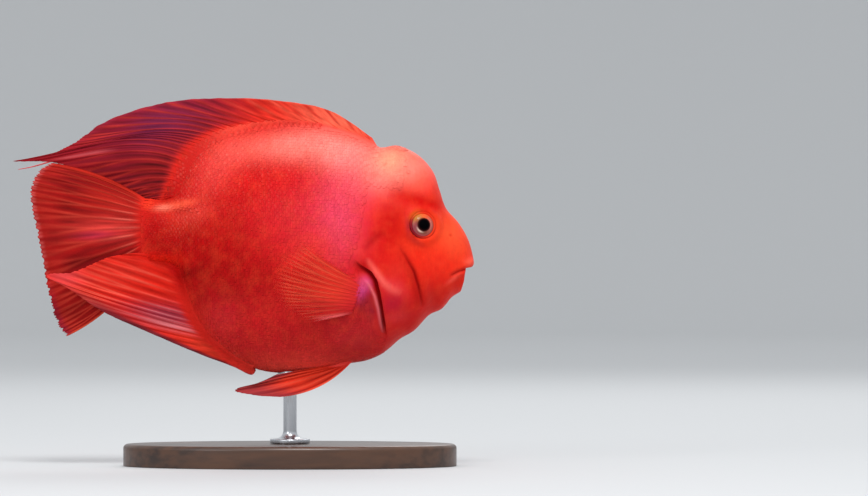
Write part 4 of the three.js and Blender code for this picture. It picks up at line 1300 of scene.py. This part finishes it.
def lid_tones(r, angle):
    near = zone_colours(EYE["x"] + r * np.cos(angle), EYE["z"] + r * np.sin(angle))
    # painted shadow on the rear of the eyelid
    rear = 0.85 * np.clip(np.cos(angle - math.radians(212)), 0, 1)[..., None]
    return near * (1 - rear) + np.array(srgb(112, 14, 34)) * rear


PUPIL_UNDER, PUPIL_BULGE = 0.35, 0.45  # how far it lies under the eye's front, and its bulge
LID_OUT, LID_WIDE, LID_HIGH, LID_UNDER = 0.3, 0.5, 0.42, 0.1  # the eyelid's ring round the eye's seat


def lens(radius, bulge, middle, steps):
    """The profile of a rounded disc."""
    return [(radius * math.sin(s), middle + bulge * math.cos(s)) for s in np.linspace(0, np.pi, steps + 1)]


def make_eyes():
    iris = Paint("iris")
    fibre = iris.noise(0.5, 4.0)
    iris_material = iris.surface(
        Base_Color=iris.times(iris.colour("tone"), 0.7 + fibre * 0.6),
        Roughness=0.4,
        Specular_IOR_Level=0.1,
        Coat_Weight=0.12,
        Coat_Roughness=0.05,
    )
    black = Paint("pupil")
    pupil_material = black.surface(Base_Color=black.colour("tone"), Roughness=0.15, Specular_IOR_Level=0.02)
    lid = Paint("eyelid")
    lid_material = lid.surface(Base_Color=lid.colour("tone"), Roughness=0.45, Specular_IOR_Level=0.08)
    radius, depth, sunk = EYE["radius"], EYE["depth"], EYE["sunk"]
    seat = radius * math.sqrt(1 - (sunk / depth) ** 2) + LID_OUT
    turn = np.linspace(0, 2 * np.pi, 25)
    ring = [(seat + LID_WIDE * math.cos(s), sunk - LID_UNDER + LID_HIGH * math.sin(s)) for s in turn]
    for name, side in SIDES:
        at, *ways = flank_frame(EYE["x"], EYE["z"], side)
        frame = (at - ways[-1] * sunk, *ways)
        mesh = turned("eye " + name, lens(radius, depth, 0, 48), frame, keep={"tone": iris_tones})
        new_piece("shown_eye_" + name, mesh, iris_material, ["eye_" + name])
        disc = lens(EYE["pupil"], PUPIL_BULGE, depth - PUPIL_UNDER, 16)
        mesh = turned("pupil " + name, disc, frame, 48, {"tone": pupil_tones})
        new_piece("shown_pupil_" + name, mesh, pupil_material, ["pupil_" + name])
        mesh = turned("eyelid " + name, ring, frame, keep={"tone": lid_tones})
        new_piece("eyelid_" + name, mesh, lid_material)


# Stand
BASE = {"length": 150, "width": 84, "height": 10, "edge": 2, "foot_edge": 0.6, "sides": 160}
ROD = {"radius": 3, "foot_radius": 9, "foot_height": 2, "fillet": 3.6, "gap": 0.3, "top": 49}
SADDLE = {"section": 13, "radius": 5.5, "height": 5, "flare": 4}


def corner(centre, radius, start, end, steps):
    """Points of a rounded corner, by angles in degrees."""
    angles = np.radians(np.linspace(start, end, steps))
    return [(centre[0] + radius * math.cos(a), centre[1] + radius * math.sin(a)) for a in angles]


def make_base():
    wood = Paint("stand wood")
    grain = wood.noise(3.0, 5.0, stretch=(0.08, 1, 1))
    rings = wood.noise(11.0, 3.0, stretch=(0.1, 1, 1))
    tone = wood.mix(grain.between(0.35, 0.7), srgb(74, 46, 30), srgb(44, 26, 17))
    tone = wood.mix(rings.between(0.4, 0.65) * 0.5, tone, srgb(92, 58, 36))
    material = wood.surface(
        Base_Color=tone,
        Roughness=0.32 + grain * 0.15,
        Normal=wood.bump(grain, 0.08),
        Coat_Weight=0.25,
        Coat_Roughness=0.2,
    )
    edge, foot_edge, height, sides = BASE["edge"], BASE["foot_edge"], BASE["height"], BASE["sides"]
    rim = corner((-foot_edge, foot_edge), foot_edge, -90, 0, 5)
    rim += corner((-edge, height - edge), edge, 0, 90, 10)
    # Each row: how far out from the middle, how far from the border, height
    profile = np.array([(0, 0, 0)] + [(1, *place) for place in rim] + [(0, 0, height)])
    turn = np.linspace(0, 2 * np.pi, sides + 1)

    def plinth(i, k, side):
        out, inset, z = profile[i].T
        x = (BASE["length"] / 2 + inset) * np.cos(turn[k]) * out
        y = (BASE["width"] / 2 + inset) * np.sin(turn[k]) * out
        return np.stack([x, y, z], -1)

    mesh = grid_mesh("stand base", len(profile) - 1, sides, plinth)
    new_piece("shown_stand_base", mesh, material, ["stand_base"])


def make_rod():
    steel = Paint("stand metal")
    brushed = steel.noise(0.8, 2.0, stretch=(1, 1, 0.02))
    material = steel.surface(Base_Color=srgb(190, 192, 196), Metallic=1.0, Roughness=0.22 + brushed * 0.14)
    radius, foot, fillet, flare = ROD["radius"], ROD["foot_radius"], ROD["fillet"], SADDLE["flare"]
    low = BASE["height"] + ROD["gap"]
    saddle = BODY_HEIGHT + SECTIONS[SADDLE["section"], 3] - SADDLE["height"]
    profile = [(0, low)]
    profile += corner((foot - 0.3, low + 0.3), 0.3, -90, 0, 4)
    profile += corner((foot - 0.6, low + 1.4), 0.6, 0, 80, 5)
    profile += corner((radius + fillet, low + ROD["foot_height"] + fillet), fillet, 262, 180, 12)
    profile += corner((radius + flare, saddle - 3.5), flare, 180, 124, 8)
    profile += [(SADDLE["radius"], saddle + 1.6), (SADDLE["radius"], ROD["top"]), (0, ROD["top"])]
    upright = (np.zeros(3), *np.eye(3))
    mesh = turned("stand rod", profile, upright, 64)
    new_piece("shown_stand_rod", mesh, material, ["stand_rod"])


# Studio, in metres
FLOOR_RADIUS, FLOOR_RISE = 3.8, 1.2
# Each lamp: name, place, size, power
LAMPS = [
    ("key", (0.1, -0.9, 1.5), 0.6, 15.5),
    ("side", (-0.9, -1.2, 0.7), 0.6, 4),
    ("back", (0.3, 1.3, 1.1), 0.8, 5),
]
SKY, SKY_STRENGTH = (0.94, 0.97, 1.0, 1), 0.85


def make_stage():
    """A pale floor that rises all round like a bowl, so that no edge shows."""
    paint = Paint("studio floor")
    material = paint.surface(Base_Color=srgb(198, 199, 200), Roughness=0.9)
    bm = bmesh.new()
    profile = [(0, 0), (FLOOR_RADIUS, 0)]
    for a in np.linspace(0.1, 1.4, 12):
        profile.append((FLOOR_RADIUS + FLOOR_RISE * math.sin(a), FLOOR_RISE * (1 - math.cos(a))))
    verts = [bm.verts.new((r, 0, z)) for r, z in profile]
    edges = [bm.edges.new(pair) for pair in zip(verts, verts[1:])]
    whole_turn = {"cent": (0, 0, 0), "axis": (0, 0, 1), "angle": 2 * math.pi, "use_merge": True}
    bmesh.ops.spin(bm, geom=verts + edges, steps=96, **whole_turn)
    bmesh.ops.remove_doubles(bm, verts=bm.verts, dist=1e-5)
    bmesh.ops.recalc_face_normals(bm, faces=bm.faces)
    mesh = to_mesh("floor", bm)
    dress(mesh, material)
    add_object("floor", mesh)


def light_studio():
    scene = bpy.context.scene
    scene.view_settings.view_transform = "Standard"
    scene.world = bpy.data.worlds.new("studio")
    scene.world.use_nodes = True
    background = scene.world.node_tree.nodes["Background"]
    background.inputs["Color"].default_value = SKY
    background.inputs["Strength"].default_value = SKY_STRENGTH
    fish = Vector((0.0, 0.0, BODY_HEIGHT * MM))
    for name, place, size, power in LAMPS:
        data = bpy.data.lights.new(name, "AREA")
        data.shape = "DISK"
        data.size = size
        data.energy = power
        lamp = add_object(name, data)
        lamp.location = place
        lamp.rotation_euler = (fish - Vector(place)).to_track_quat("-Z", "Y").to_euler()
        lamp.visible_camera = False


place_camera()
for wide_fin in (DORSAL, ANAL, CAUDAL):
    widen(wide_fin)
skin_grid, skin_slots = skin_points()
make_skin(skin_grid, skin_slots, skin_paint())
make_scales(skin_grid, scale_paint())
make_fins()
make_eyes()
make_base()
make_rod()
make_stage()
light_studio()
